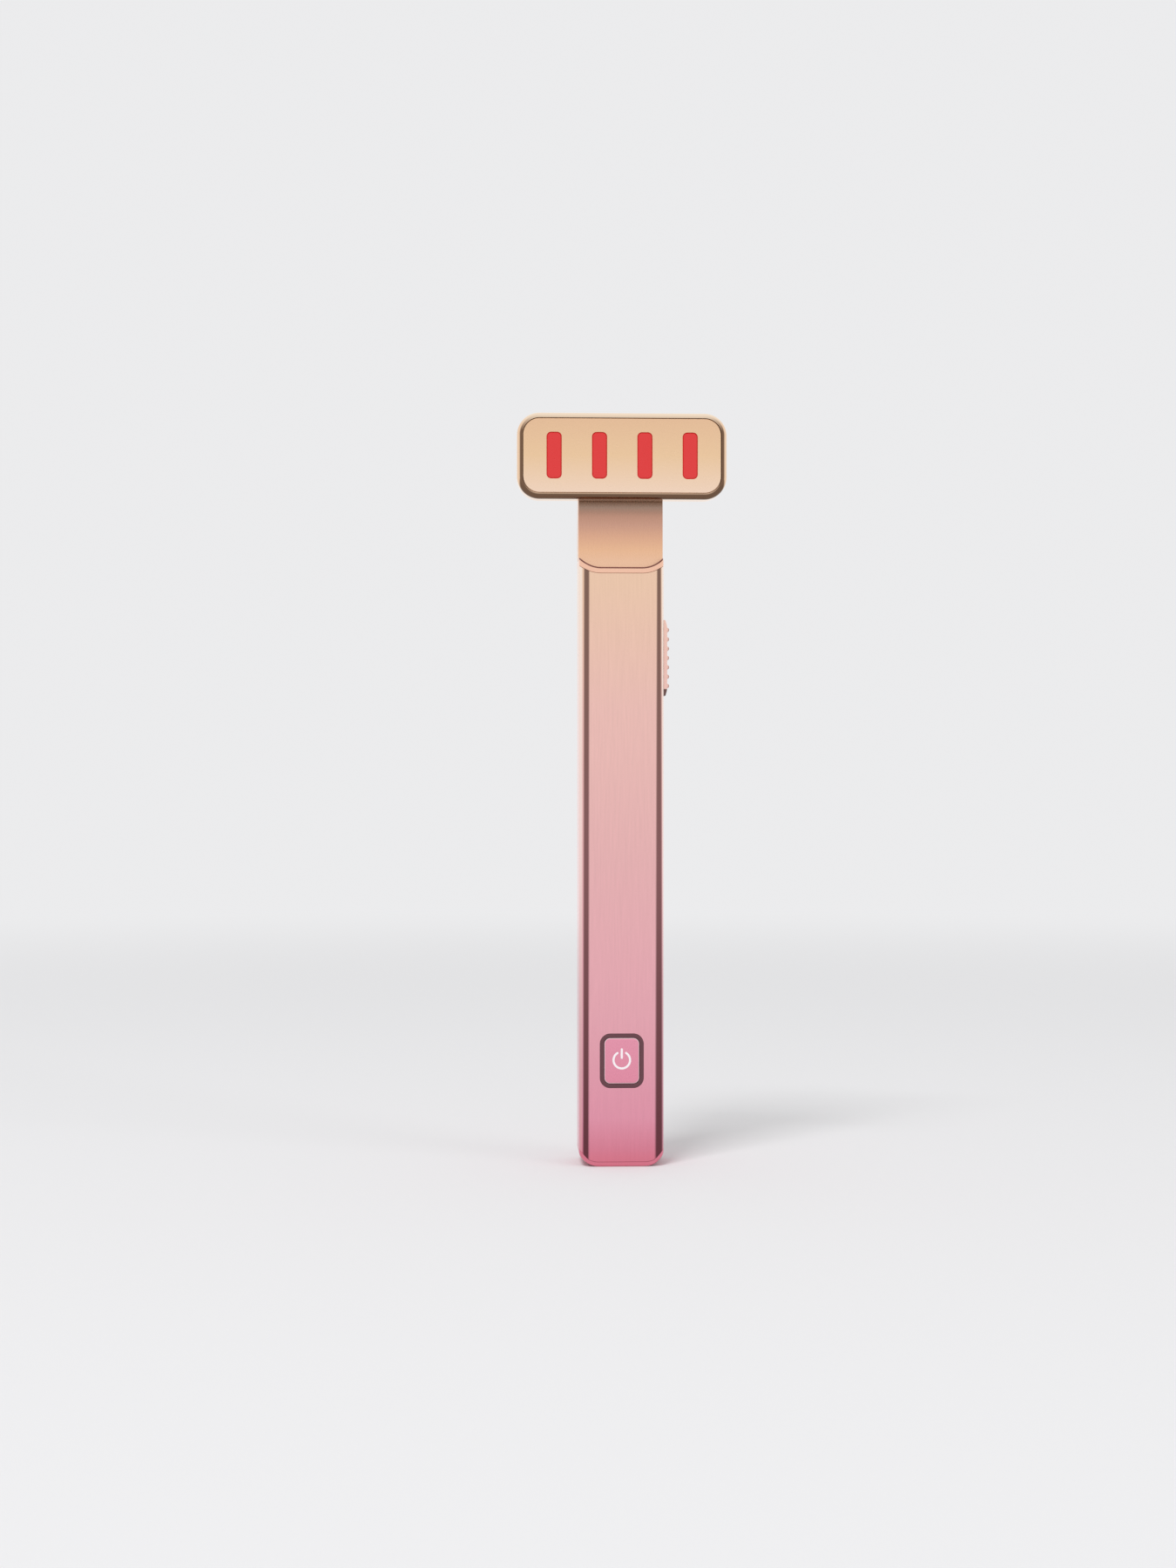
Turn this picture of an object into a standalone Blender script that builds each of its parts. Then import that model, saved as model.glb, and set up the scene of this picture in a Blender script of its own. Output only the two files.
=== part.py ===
"""Red light therapy wand, standing on its end cap with its light face towards -Y.

A flat head with four light slots swivels on a hollow shaft in front of a tapered neck.
The neck plugs into a rounded rectangular tube that holds the board, the battery, the motor
and the switches. Lengths are in metres. The middle of the wand's overall box is at X = Y = 0.
"""

import math

import bmesh
import bpy
from mathutils import Vector

MM = 0.001

# Shared clearances
WELD = 0.001 * MM
SEAM = 0.1 * MM
FIT = 0.15 * MM
GAP = 0.3 * MM
OVERRUN = 3.0 * MM

# Handle tube
BODY_WIDTH = 19.0 * MM
BODY_DEPTH = 14.0 * MM
BODY_CORNER = 2.2 * MM
BODY_WALL = 1.0 * MM

# Head
HEAD_WIDTH = 46.8 * MM
HEAD_OVERHANG = 0.1 * MM
HEAD_THICKNESS = 6.0 * MM
HEAD_CORNER = 5.0 * MM
HEAD_PROUD = 2.0 * MM
HEAD_GAP = 0.3 * MM
HEAD_RIM = 1.3 * MM
HEAD_LEDGE = 1.0 * MM
HEAD_WALL = 1.2 * MM
HEAD_FRONT_EDGE = 1.1 * MM
HEAD_BACK_EDGE = 0.9 * MM

# Shoulder between the neck and the tube
SWING_GAP = 1.5 * MM
COLLAR_HEIGHT = 1.1 * MM
COLLAR_EDGE = 0.3 * MM

# Light face
PLATE_THICKNESS = 0.8 * MM
PLATE_RECESS = 0.1 * MM
SLOT_COUNT = 4
SLOT_PITCH = 10.1 * MM
SLOT_WIDTH = 3.3 * MM
SLOT_LENGTH = 10.3 * MM
SLOT_CORNER = 1.0 * MM
FILM_THICKNESS = 0.2 * MM
DIFFUSER_THICKNESS = 0.8 * MM
LIGHT_BOARD_THICKNESS = 0.8 * MM
LED_SIZE = 2.8 * MM
LED_THICKNESS = 0.7 * MM
LED_PITCH = 5.2 * MM
LEDS_IN_SLOT = 2

# Screws
SCREW_RADIUS = 0.6 * MM
SCREW_HEAD_RADIUS = 1.15 * MM
SCREW_HEAD_HEIGHT = 0.5 * MM
SCREW_LENGTH = 3.2 * MM
LIGHT_SCREW_LENGTH = 1.4 * MM
BOSS_RADIUS = 1.5 * MM

# Swivel
SHAFT_RADIUS = 2.0 * MM
SHAFT_BORE = 1.1 * MM
SHAFT_RUNNING = 0.09 * MM
SHAFT_END = 0.4 * MM
KEY_WIDTH = 7.0 * MM
KEY_CORNER = 0.8 * MM
KEY_THICKNESS = 0.8 * MM
KEY_RECESS = 0.4 * MM
WASHER_RADIUS = 3.5 * MM
WASHER_THICKNESS = 0.4 * MM
SPRING_RADIUS = 3.3 * MM
SPRING_BORE = 2.2 * MM
SPRING_STRIP = 0.25 * MM
SPRING_WAVE = 0.15 * MM
SPRING_WAVES = 3
CLIP_RADIUS = 3.2 * MM
CLIP_THICKNESS = 0.4 * MM
CLIP_BITE = 0.3 * MM
CLIP_OPENING = 2.4 * MM
STOP_PATH_RADIUS = 6.0 * MM
STOP_PIN_RADIUS = 0.8 * MM
STOP_DEPTH = 1.0 * MM
SWIVEL_LIMIT = 90.0
STOP_SLACK = 2.0

# Neck
NECK_WALL = 1.8 * MM
NECK_SIDE = 1.2 * MM
NECK_LEDGE = 1.0 * MM
NECK_THIN_DEPTH = 6.9 * MM
NECK_TOP_FLAT = 2.2 * MM
NECK_PLUG_LENGTH = 9.8 * MM
NECK_SET_DOWN = 0.7 * MM
NECK_BEND_LOW = 1.5 * MM
NECK_BEND_RISE = 15.0 * MM
NECK_POCKET_DROP = 17.0 * MM
NECK_COVER_THICKNESS = 1.2 * MM
CABLE_WAY_WIDTH = 4.0 * MM
CABLE_WAY_DEPTH = 2.6 * MM
CABLE_RADIUS = 0.6 * MM

# End cap
CAP_LIP = 1.0 * MM
CAP_FLOOR = 1.8 * MM
CAP_PLUG_TOP = 6.0 * MM
CAP_PLUG_WALL = 1.2 * MM
FOOT_CORNER_ACROSS = 4.4 * MM
FOOT_CORNER_UP = 3.2 * MM
FOOT_SEAM_TURN = 60.0
SEAL_HEIGHT = 1.0 * MM
SEAL_DEPTH = 0.5 * MM
SEAL_PLACE = 3.6 * MM

# Charging socket
SOCKET_WIDTH = 8.94 * MM
SOCKET_DEPTH = 3.26 * MM
SOCKET_LENGTH = 7.3 * MM
SOCKET_RECESS = 0.3 * MM
SOCKET_WALL = 0.3 * MM
TONGUE_WIDTH = 6.7 * MM
TONGUE_THICKNESS = 0.7 * MM
TONGUE_LENGTH = 4.6 * MM

# Main board
BOARD_MARGIN = 0.9 * MM
BOARD_LENGTH = 47.4 * MM
BOARD_THICKNESS = 1.0 * MM
BOARD_TAIL_STEP = 1.9 * MM
BOARD_SCREW_SET_IN = 3.4 * MM

# Chassis
CHASSIS_RAIL = 2.0 * MM
CHASSIS_BACK = 1.0 * MM
CHASSIS_CORNER = 1.0 * MM
BULKHEAD = 2.0 * MM
SCREW_BULKHEAD = 4.4 * MM
TAB_ROOM = 0.9 * MM

# Battery
BATTERY_RADIUS = 5.0 * MM
BATTERY_LENGTH = 44.0 * MM
BATTERY_EDGE = 0.5 * MM
BATTERY_FIT = 0.25 * MM
TAB_WIDTH = 4.0 * MM
TAB_LENGTH = 7.0 * MM
TAB_THICKNESS = 0.3 * MM

# Power button
BUTTON_HEIGHT = 23.6 * MM
BUTTON_WIDTH = 7.75 * MM
BUTTON_LENGTH = 10.0 * MM
BUTTON_CORNER = 1.1 * MM
BUTTON_RING_WIDTH = 0.95 * MM
BUTTON_FLANGE = 0.6 * MM
BUTTON_FLANGE_THICKNESS = 0.5 * MM
BUTTON_TRAVEL = 0.35 * MM
RING_PROUD = 0.1 * MM
TACT_SIZE = 4.5 * MM
TACT_HEIGHT = 1.0 * MM
PLUNGER_RADIUS = 1.1 * MM
PLUNGER_HEAD = 0.5 * MM

# Ground contact
SPRING_LEAF_SET_DOWN = 16.0 * MM
SPRING_LEAF_LENGTH = 8.0 * MM
SPRING_LEAF_WIDTH = 2.4 * MM
SPRING_LEAF_THICKNESS = 0.25 * MM

# Mode slider
SLIDER_SET_UP = 9.9 * MM
SLIDER_LENGTH = 17.0 * MM
SLIDER_WIDTH = 7.0 * MM
SLIDER_RISE = 1.05 * MM
SLIDER_TIP = 0.45 * MM
SLIDER_RAMP = 1.9 * MM
SLIDER_TRAVEL = 4.0 * MM
RIB_COUNT = 7
RIB_PITCH = 2.1 * MM
RIB_WIDTH = 1.1 * MM
RIB_HEIGHT = 0.4 * MM
STEM_WIDTH = 2.2 * MM
STEM_LENGTH = 3.0 * MM
CARRIAGE_WIDTH = 6.0 * MM
CARRIAGE_LENGTH = 11.0 * MM
CARRIAGE_THICKNESS = 1.1 * MM
FINGER_WIDTH = 1.8 * MM
FINGER_LENGTH = 2.0 * MM
FINGER_REACH = 1.7 * MM
SWITCH_WIDTH = 5.2 * MM
SWITCH_LENGTH = 11.0 * MM
SWITCH_THICKNESS = 2.8 * MM
SWITCH_BOARD_WIDTH = 6.4 * MM
SWITCH_BOARD_LENGTH = 16.0 * MM
SWITCH_BOARD_THICKNESS = 0.8 * MM

# Vibration motor
MOTOR_RADIUS = 3.0 * MM
MOTOR_LENGTH = 11.0 * MM
MOTOR_MARGIN = 1.0 * MM
SLEEVE_WALL = 0.6 * MM
MOTOR_SHAFT_RADIUS = 0.5 * MM
MOTOR_NOSE = 1.4 * MM
WEIGHT_RADIUS = 2.6 * MM
WEIGHT_LENGTH = 3.4 * MM
WEIGHT_GAP = 0.8 * MM
WORKS_ROOM = 18.6 * MM
ROOF = 1.0 * MM

# Wires
WIRE_RADIUS = 0.45 * MM
WIRE_STEP = 1.6 * MM

# Facets of curves
CORNER_STEPS = 5
ROUND_STEPS = 32
SMALL_STEPS = 16
SHARP_ANGLE = math.radians(35)

# The solver for the pieces that the default one leaves open
CLOSED_SOLVER = "MANIFOLD"

# Routes of the wires, in millimetres from the piece that each stretch starts at
HEAD_CABLE_FROM_PIVOT = ((0, -3.9, 0), (0, 0, 0), (0, 2.2, 0), (0, 3.2, -1.2), (0, 3.2, -4.4))
HEAD_CABLE_FROM_PLUG = ((0, 3.2, 12.3), (0, 3.2, 2.3), (-0.6, 2.6, 0.8))
RED_LEAD_FROM_TAB = ((3.2, -2.6, 0.6),)
RED_LEAD_FROM_BATTERY = ((-2.3, -3.2, -0.9), (-1.5, -3.4, -6.9))
RED_LEAD_FROM_BOARD = ((-1.5, -3.4, 8), (-1.9, -3.2, 0), (-2.5, -2.8, -4))
BLACK_LEAD_FROM_TAB = ((-3.2, -2.6, -0.6), (-4.2, -3.4, -1.7), (-4.6, -3.2, -3.9), (-4.8, -2.8, -6.9))
SWITCH_LEAD_FROM_ROOM = ((-5.6, -2.9, 7.2), (-3.9, -3.9, 4.2), (-1.1, -4, 0.2), (-1.1, -4, -3.8))

# Places that follow from the sizes above
BODY_Y = HEAD_PROUD / 2
BODY_FRONT = BODY_Y - BODY_DEPTH / 2
BODY_BACK = BODY_Y + BODY_DEPTH / 2
INNER_WIDTH = BODY_WIDTH - 2 * BODY_WALL
INNER_DEPTH = BODY_DEPTH - 2 * BODY_WALL
INNER_CORNER = BODY_CORNER - BODY_WALL
INNER_FRONT = BODY_FRONT + BODY_WALL
INNER_BACK = BODY_BACK - BODY_WALL
HEAD_FRONT = BODY_FRONT - HEAD_PROUD
HEAD_BACK = HEAD_FRONT + HEAD_THICKNESS
HEAD_FLOOR = HEAD_BACK - HEAD_WALL
HEAD_HEIGHT = BODY_WIDTH + 2 * HEAD_OVERHANG
NECK_FRONT = HEAD_BACK + HEAD_GAP
NECK_FLOOR = NECK_FRONT + NECK_WALL
NECK_TOP_CORNER = (BODY_WIDTH - NECK_TOP_FLAT) / 2
PLATE_WIDTH = HEAD_WIDTH - 2 * HEAD_RIM
PLATE_HEIGHT = HEAD_HEIGHT - 2 * HEAD_RIM
PLATE_CORNER = HEAD_CORNER - HEAD_RIM
PLATE_FRONT = HEAD_FRONT + PLATE_RECESS
PLATE_BACK = PLATE_FRONT + PLATE_THICKNESS
FILM_FRONT = PLATE_BACK + SEAM
FILM_BACK = FILM_FRONT + FILM_THICKNESS
LEDGE_PLANE = FILM_BACK + SEAM
ROOM_WIDTH = PLATE_WIDTH - 2 * HEAD_LEDGE
ROOM_HEIGHT = PLATE_HEIGHT - 2 * HEAD_LEDGE
ROOM_CORNER = PLATE_CORNER - HEAD_LEDGE
DIFFUSER_FRONT = LEDGE_PLANE
DIFFUSER_BACK = DIFFUSER_FRONT + DIFFUSER_THICKNESS
LED_FRONT = DIFFUSER_BACK + SEAM
LED_BACK = LED_FRONT + LED_THICKNESS
LIGHT_BOARD_FRONT = LED_BACK + SEAM
LIGHT_BOARD_BACK = LIGHT_BOARD_FRONT + LIGHT_BOARD_THICKNESS
KEY_BACK = HEAD_FLOOR + KEY_RECESS - SEAM
KEY_FRONT = KEY_BACK - KEY_THICKNESS
WASHER_FRONT = NECK_FLOOR + SEAM
WASHER_BACK = WASHER_FRONT + WASHER_THICKNESS
SPRING_FRONT = WASHER_BACK + SEAM
SPRING_BACK = SPRING_FRONT + 2 * SPRING_WAVE + SPRING_STRIP
CLIP_FRONT = SPRING_BACK + SEAM
CLIP_BACK = CLIP_FRONT + CLIP_THICKNESS
SHAFT_TIP = CLIP_BACK + SEAM + SHAFT_END
CABLE_Y = SHAFT_TIP + GAP + CABLE_RADIUS
CHASSIS_BOTTOM = CAP_PLUG_TOP + GAP
BOARD_BOTTOM = CHASSIS_BOTTOM + GAP
BOARD_TOP = BOARD_BOTTOM + BOARD_LENGTH
BATTERY_ROOM_BOTTOM = BOARD_TOP + BULKHEAD
BATTERY_BOTTOM = BATTERY_ROOM_BOTTOM + TAB_ROOM
BATTERY_TOP = BATTERY_BOTTOM + BATTERY_LENGTH
BATTERY_ROOM_TOP = BATTERY_TOP + TAB_ROOM
WORKS_ROOM_BOTTOM = BATTERY_ROOM_TOP + BULKHEAD
WORKS_ROOM_TOP = WORKS_ROOM_BOTTOM + WORKS_ROOM
CHASSIS_TOP = WORKS_ROOM_TOP + ROOF
NECK_PLUG_BOTTOM = CHASSIS_TOP + GAP
HEAD_END = NECK_PLUG_BOTTOM + NECK_PLUG_LENGTH + SWING_GAP
PIVOT_HEIGHT = HEAD_END + HEAD_WIDTH / 2
NECK_TOP = PIVOT_HEIGHT + HEAD_HEIGHT / 2 - NECK_SET_DOWN
NECK_POCKET_BOTTOM = PIVOT_HEIGHT - NECK_POCKET_DROP
SLIDER_HEIGHT = WORKS_ROOM_BOTTOM + SLIDER_SET_UP
SPRING_LEAF_HEIGHT = BOARD_TOP - SPRING_LEAF_SET_DOWN
BOARD_WIDTH = INNER_WIDTH - 2 * BOARD_MARGIN
BOARD_TAIL_WIDTH = BOARD_WIDTH - 2 * BOARD_TAIL_STEP
SOCKET_FRONT = BODY_Y - SOCKET_DEPTH / 2
BOARD_BACK = SOCKET_FRONT - SEAM
BOARD_FRONT = BOARD_BACK - BOARD_THICKNESS
CHASSIS_FRONT = BOARD_BACK + SEAM
CHASSIS_WIDTH = INNER_WIDTH - 2 * FIT
CHASSIS_REAR = INNER_BACK - FIT
LOWER_SCREW_HEIGHT = BOARD_BOTTOM + BOARD_SCREW_SET_IN
UPPER_SCREW_HEIGHT = BOARD_TOP - BOARD_SCREW_SET_IN
SIDE_WALL = BODY_WIDTH / 2
SIDE_WALL_INSIDE = SIDE_WALL - BODY_WALL
CARRIAGE_OUTER = SIDE_WALL_INSIDE - GAP
CARRIAGE_INNER = CARRIAGE_OUTER - CARRIAGE_THICKNESS
SWITCH_OUTER = CARRIAGE_INNER - GAP
SWITCH_INNER = SWITCH_OUTER - SWITCH_THICKNESS
SWITCH_BOARD_OUTER = SWITCH_INNER - SEAM
SWITCH_BOARD_INNER = SWITCH_BOARD_OUTER - SWITCH_BOARD_THICKNESS
MOTOR_X = MOTOR_MARGIN + SLEEVE_WALL + MOTOR_RADIUS - SIDE_WALL_INSIDE
MOTOR_BOTTOM = WORKS_ROOM_BOTTOM + GAP
MOTOR_TOP = MOTOR_BOTTOM + MOTOR_LENGTH

TURNS = {
    "X": (math.radians(90), 0, math.radians(90)),
    "Y": (math.radians(90), 0, 0),
    "Z": (0, 0, 0),
}

for leftover in list(bpy.data.objects):
    bpy.data.objects.remove(leftover)

PARTS = bpy.data.collections.new("red_light_wand")
CUTTERS = bpy.data.collections.new("cutters")
bpy.context.scene.collection.children.link(PARTS)
bpy.context.scene.collection.children.link(CUTTERS)


# Materials

def finish(name, colour, roughness, metallic):
    """A Principled material."""
    material = bpy.data.materials.new(name)
    material.use_nodes = True
    shader = material.node_tree.nodes["Principled BSDF"]
    shader.inputs["Base Color"].default_value = (*colour, 1.0)
    shader.inputs["Roughness"].default_value = roughness
    shader.inputs["Metallic"].default_value = metallic
    return material


ROSE_METAL = ((0.76, 0.42, 0.45), 0.32, 0.9)
PEACH_METAL = ((0.80, 0.55, 0.43), 0.3, 0.9)
PALE_GOLD = ((0.84, 0.66, 0.47), 0.25, 0.95)
BRONZE = ((0.45, 0.31, 0.22), 0.18, 0.95)
LIGHT_RED = ((0.85, 0.06, 0.06), 0.35, 0.0)
STEEL = ((0.62, 0.62, 0.64), 0.3, 1.0)
DARK_METAL = ((0.20, 0.13, 0.14), 0.25, 0.9)
BOARD_GREEN = ((0.03, 0.20, 0.09), 0.45, 0.0)
WHITE_PLASTIC = ((0.80, 0.80, 0.78), 0.45, 0.0)
BLACK_PLASTIC = ((0.03, 0.03, 0.03), 0.5, 0.0)
RUBBER = ((0.06, 0.06, 0.06), 0.8, 0.0)
COPPER_FILM = ((0.72, 0.40, 0.16), 0.4, 0.6)
CELL_BLUE = ((0.05, 0.14, 0.42), 0.4, 0.0)
WIRE_RED = ((0.60, 0.03, 0.03), 0.5, 0.0)
WIRE_BLACK = ((0.02, 0.02, 0.02), 0.5, 0.0)
WIRE_GREY = ((0.35, 0.35, 0.36), 0.5, 0.0)


# Outlines

def arc(centre, radii, start, end, steps):
    """Points on an arc from one angle to another, in degrees from the first axis."""
    angles = [math.radians(start + (end - start) * i / steps) for i in range(steps + 1)]
    return [
        (centre[0] + radii[0] * math.cos(a), centre[1] + radii[1] * math.sin(a))
        for a in angles
    ]


def circle(radius, steps=ROUND_STEPS, centre=(0, 0)):
    """A closed circle."""
    return arc(centre, (radius, radius), 0, 360, steps)[:-1]


def box(low, high):
    """A rectangle between two corners."""
    return [low, (high[0], low[1]), high, (low[0], high[1])]


def rounded(width, height, corner, centre=(0, 0)):
    """A rectangle with round corners."""
    across = width / 2 - corner
    up = height / 2 - corner
    places = ((across, up, 0), (-across, up, 90), (-across, -up, 180), (across, -up, 270))
    points = []
    for x, z, start in places:
        middle = (centre[0] + x, centre[1] + z)
        points += arc(middle, (corner, corner), start, start + 90, CORNER_STEPS)
    return points


def sector(radius, half_width, start, end):
    """An arc-shaped slot about the origin, from one angle to another."""
    outer = radius + half_width
    inner = radius - half_width
    return (
        arc((0, 0), (outer, outer), start, end, ROUND_STEPS)
        + arc((0, 0), (inner, inner), end, start, ROUND_STEPS)
    )


def moved(outline, across, up):
    """An outline shifted in its plane."""
    return [(x + across, z + up) for x, z in outline]


# Solids

def named(mesh, name, look, turn=(0, 0, 0), place=(0, 0, 0)):
    """A part with its own material, or a hidden cutter where it has no look."""
    piece = bpy.data.objects.new(name, mesh)
    piece.rotation_euler = turn
    piece.location = place
    if look:
        PARTS.objects.link(piece)
        mesh.materials.clear()
        mesh.materials.append(finish(name, *look))
        mesh.shade_smooth()
        mesh.set_sharp_from_angle(angle=SHARP_ANGLE)
    else:
        CUTTERS.objects.link(piece)
        piece.hide_render = True
        piece.display_type = "WIRE"
    return piece


def mesh_of(curve_object):
    """The welded mesh of a curve object, which is then removed."""
    PARTS.objects.link(curve_object)
    depsgraph = bpy.context.evaluated_depsgraph_get()
    mesh = bpy.data.meshes.new_from_object(curve_object.evaluated_get(depsgraph))
    bpy.data.objects.remove(curve_object)
    cage = bmesh.new()
    cage.from_mesh(mesh)
    bmesh.ops.remove_doubles(cage, verts=cage.verts, dist=WELD)
    bmesh.ops.recalc_face_normals(cage, faces=cage.faces)
    cage.to_mesh(mesh)
    cage.free()
    return mesh


def slab(name, outlines, low, high, facing, look=None):
    """A flat outline, with holes if it has more than one loop, between two planes on an axis."""
    curve = bpy.data.curves.new(name, "CURVE")
    curve.dimensions = "2D"
    curve.fill_mode = "BOTH"
    curve.extrude = (high - low) / 2
    for outline in outlines:
        spline = curve.splines.new("POLY")
        spline.points.add(len(outline) - 1)
        for point, (x, z) in zip(spline.points, outline):
            point.co = (x, z, 0, 1)
        spline.use_cyclic_u = True
    mesh = mesh_of(bpy.data.objects.new(name, curve))
    place = Vector((0, 0, 0))
    place["XYZ".index(facing)] = (low + high) / 2
    return named(mesh, name, look, TURNS[facing], place)


def turned(name, profile, centre, look):
    """A profile of radius and height, turned about an upright axis."""
    mesh = bpy.data.meshes.new(name)
    line = [(radius, 0, height) for radius, height in profile]
    mesh.from_pydata(line, [(i, i + 1) for i in range(len(line) - 1)], [])
    source = bpy.data.objects.new(name, mesh)
    turn = source.modifiers.new("turn", "SCREW")
    turn.steps = ROUND_STEPS
    turn.render_steps = ROUND_STEPS
    turn.use_merge_vertices = True
    turn.merge_threshold = WELD
    return named(mesh_of(source), name, look, place=centre)


def tube_through(name, route, radius, look):
    """A round wire along a smooth curve through the route's points."""
    curve = bpy.data.curves.new(name, "CURVE")
    curve.dimensions = "3D"
    curve.bevel_depth = radius
    curve.bevel_resolution = 2
    curve.use_fill_caps = True
    points = smooth(route)
    spline = curve.splines.new("POLY")
    spline.points.add(len(points) - 1)
    for point, place in zip(spline.points, points):
        point.co = (*place, 1)
    return named(mesh_of(bpy.data.objects.new(name, curve)), name, look)


def stretch(points, x, z):
    """Points of a route, in millimetres from a place across and up."""
    return [Vector(point) * MM + Vector((x, 0, z)) for point in points]


def smooth(ends):
    """Points at an even step along a smooth curve through the route's points."""
    ends = [2 * ends[0] - ends[1]] + ends + [2 * ends[-1] - ends[-2]]
    points = []
    for before, start, end, after in zip(ends, ends[1:], ends[2:], ends[3:]):
        count = max(1, round((end - start).length / WIRE_STEP))
        for i in range(count):
            t = i / count
            points.append(
                0.5 * (
                    2 * start
                    + (end - before) * t
                    + (2 * before - 5 * start + 4 * end - after) * t ** 2
                    + (3 * start - before - 3 * end + after) * t ** 3
                )
            )
    return points + [ends[-2]]


def change(piece, operation, *tools, solver="EXACT"):
    """Cuts, joins or intersects a piece with hidden tools."""
    for tool in tools:
        step = piece.modifiers.new(tool.name, "BOOLEAN")
        step.operation = operation
        step.solver = solver
        step.object = tool
    return piece


def cut(piece, *tools, solver="EXACT"):
    """Takes the tools' shapes out of a piece."""
    return change(piece, "DIFFERENCE", *tools, solver=solver)


def join(piece, *tools, solver="EXACT"):
    """Adds the tools' shapes to a piece."""
    return change(piece, "UNION", *tools, solver=solver)


def ease(piece, width, wanted, segments=2):
    """Rounds the edges whose two ends satisfy a test of their local places."""
    cage = bmesh.new()
    cage.from_mesh(piece.data)
    edges = [edge for edge in cage.edges if all(wanted(v.co) for v in edge.verts)]
    bmesh.ops.bevel(
        cage, geom=edges, offset=width, offset_type="OFFSET", segments=segments,
        profile=0.5, affect="EDGES", clamp_overlap=True,
    )
    cage.to_mesh(piece.data)
    cage.free()
    return piece


# Outlines that several pieces share

def body_section(inset=0.0):
    """The tube's section, drawn in by an inset."""
    return rounded(BODY_WIDTH - 2 * inset, BODY_DEPTH - 2 * inset, BODY_CORNER - inset, (0, BODY_Y))


def shoulder(offset, level):
    """Follows the round end of the head when it is turned in line, and closes at a level."""
    far = BODY_WIDTH + OVERRUN
    across = HEAD_HEIGHT / 2 - HEAD_CORNER
    up = HEAD_END + HEAD_CORNER
    reach = (HEAD_CORNER + offset, HEAD_CORNER + offset)
    left = arc((-across, up), reach, 180, 270, 2 * CORNER_STEPS)
    right = arc((across, up), reach, 270, 360, 2 * CORNER_STEPS)
    return [(-far, level), (-far, up)] + left + right + [(far, up), (far, level)]


def foot_seam(rise, level):
    """The seam between the end cap and the tube, which turns up at both sides."""
    far = BODY_WIDTH / 2 + OVERRUN
    middle = (BODY_WIDTH / 2 - FOOT_CORNER_ACROSS, FOOT_CORNER_UP + rise)
    reach = (FOOT_CORNER_ACROSS - CAP_LIP, FOOT_CORNER_UP - CAP_LIP)
    right = arc(middle, reach, 270, 270 + FOOT_SEAM_TURN, CORNER_STEPS)
    before, last = right[-2:]
    slope = (last[1] - before[1]) / (last[0] - before[0])
    right.append((far, last[1] + slope * (far - last[0])))
    left = [(-x, z) for x, z in reversed(right)]
    return [(-far, level)] + left + right + [(far, level)]


def foot_round(level):
    """The round lower corners of the wand, open at the sides."""
    far = BODY_WIDTH / 2 + OVERRUN
    middle = BODY_WIDTH / 2 - FOOT_CORNER_ACROSS
    reach = (FOOT_CORNER_ACROSS, FOOT_CORNER_UP)
    right = arc((middle, FOOT_CORNER_UP), reach, 270, 360, 2 * CORNER_STEPS)
    right.append((far, FOOT_CORNER_UP))
    left = [(-x, z) for x, z in reversed(right)]
    return [(-far, level)] + left + right + [(far, level)]


def neck_front_view(inset, bottom, spread):
    """The neck from the front, with its round top, drawn in by an inset and spread below it."""
    half = BODY_WIDTH / 2 - inset
    corner = NECK_TOP_CORNER - inset
    top = NECK_TOP - inset
    right = arc((half - corner, top - corner), (corner, corner), 0, 90, 2 * CORNER_STEPS)
    if spread:
        right.insert(0, (half + spread, top - corner))
    right.insert(0, (half + spread, bottom))
    return right + [(-x, z) for x, z in reversed(right)]


def neck_back_view(inset):
    """The neck's back from the side: full depth at the shoulder, thin behind the head."""
    low = HEAD_END + NECK_BEND_LOW
    thin = NECK_FRONT + NECK_THIN_DEPTH
    steps = 3 * CORNER_STEPS
    curve = []
    for i in range(steps + 1):
        t = i / steps
        ease_share = t * t * (3 - 2 * t)
        curve.append((BODY_BACK + (thin - BODY_BACK) * ease_share - inset, low + NECK_BEND_RISE * t))
    return curve


def behind(curve, back, bottom, top):
    """All that lies behind a curve seen from the side."""
    start = [(back, curve[0][1]), curve[0]] if bottom is None else [(back, bottom), (curve[0][0], bottom)]
    return start + curve[1 if bottom is None else 0:] + [(curve[-1][0], top), (back, top)]


def slot_places():
    """The middle of each light slot, from left to right."""
    return [(i - (SLOT_COUNT - 1) / 2) * SLOT_PITCH for i in range(SLOT_COUNT)]


def light_screw_places():
    """The board's screws lie between the outer and the inner slots."""
    return {"left": -SLOT_PITCH, "right": SLOT_PITCH}


# Head

def head_outline(width, height, corner):
    """A rounded rectangle about the pivot, seen from the front."""
    return rounded(width, height, corner, (0, PIVOT_HEIGHT))


def slot_outline(x, spare):
    """One light slot with some spare all round."""
    wide = SLOT_WIDTH + 2 * spare
    return rounded(wide, SLOT_LENGTH + 2 * spare, SLOT_CORNER + spare, (x, PIVOT_HEIGHT))


def treatment_plate():
    outline = head_outline(PLATE_WIDTH, PLATE_HEIGHT, PLATE_CORNER)
    slots = [slot_outline(x, 0.0) for x in slot_places()]
    return slab("treatment_plate", [outline] + slots, PLATE_FRONT, PLATE_BACK, "Y", PALE_GOLD)


def heater_film():
    outline = head_outline(ROOM_WIDTH - 2 * FIT, ROOM_HEIGHT - 2 * FIT, ROOM_CORNER)
    windows = [slot_outline(x, FIT) for x in slot_places()]
    return slab("heater_film", [outline] + windows, FILM_FRONT, FILM_BACK, "Y", COPPER_FILM)


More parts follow.
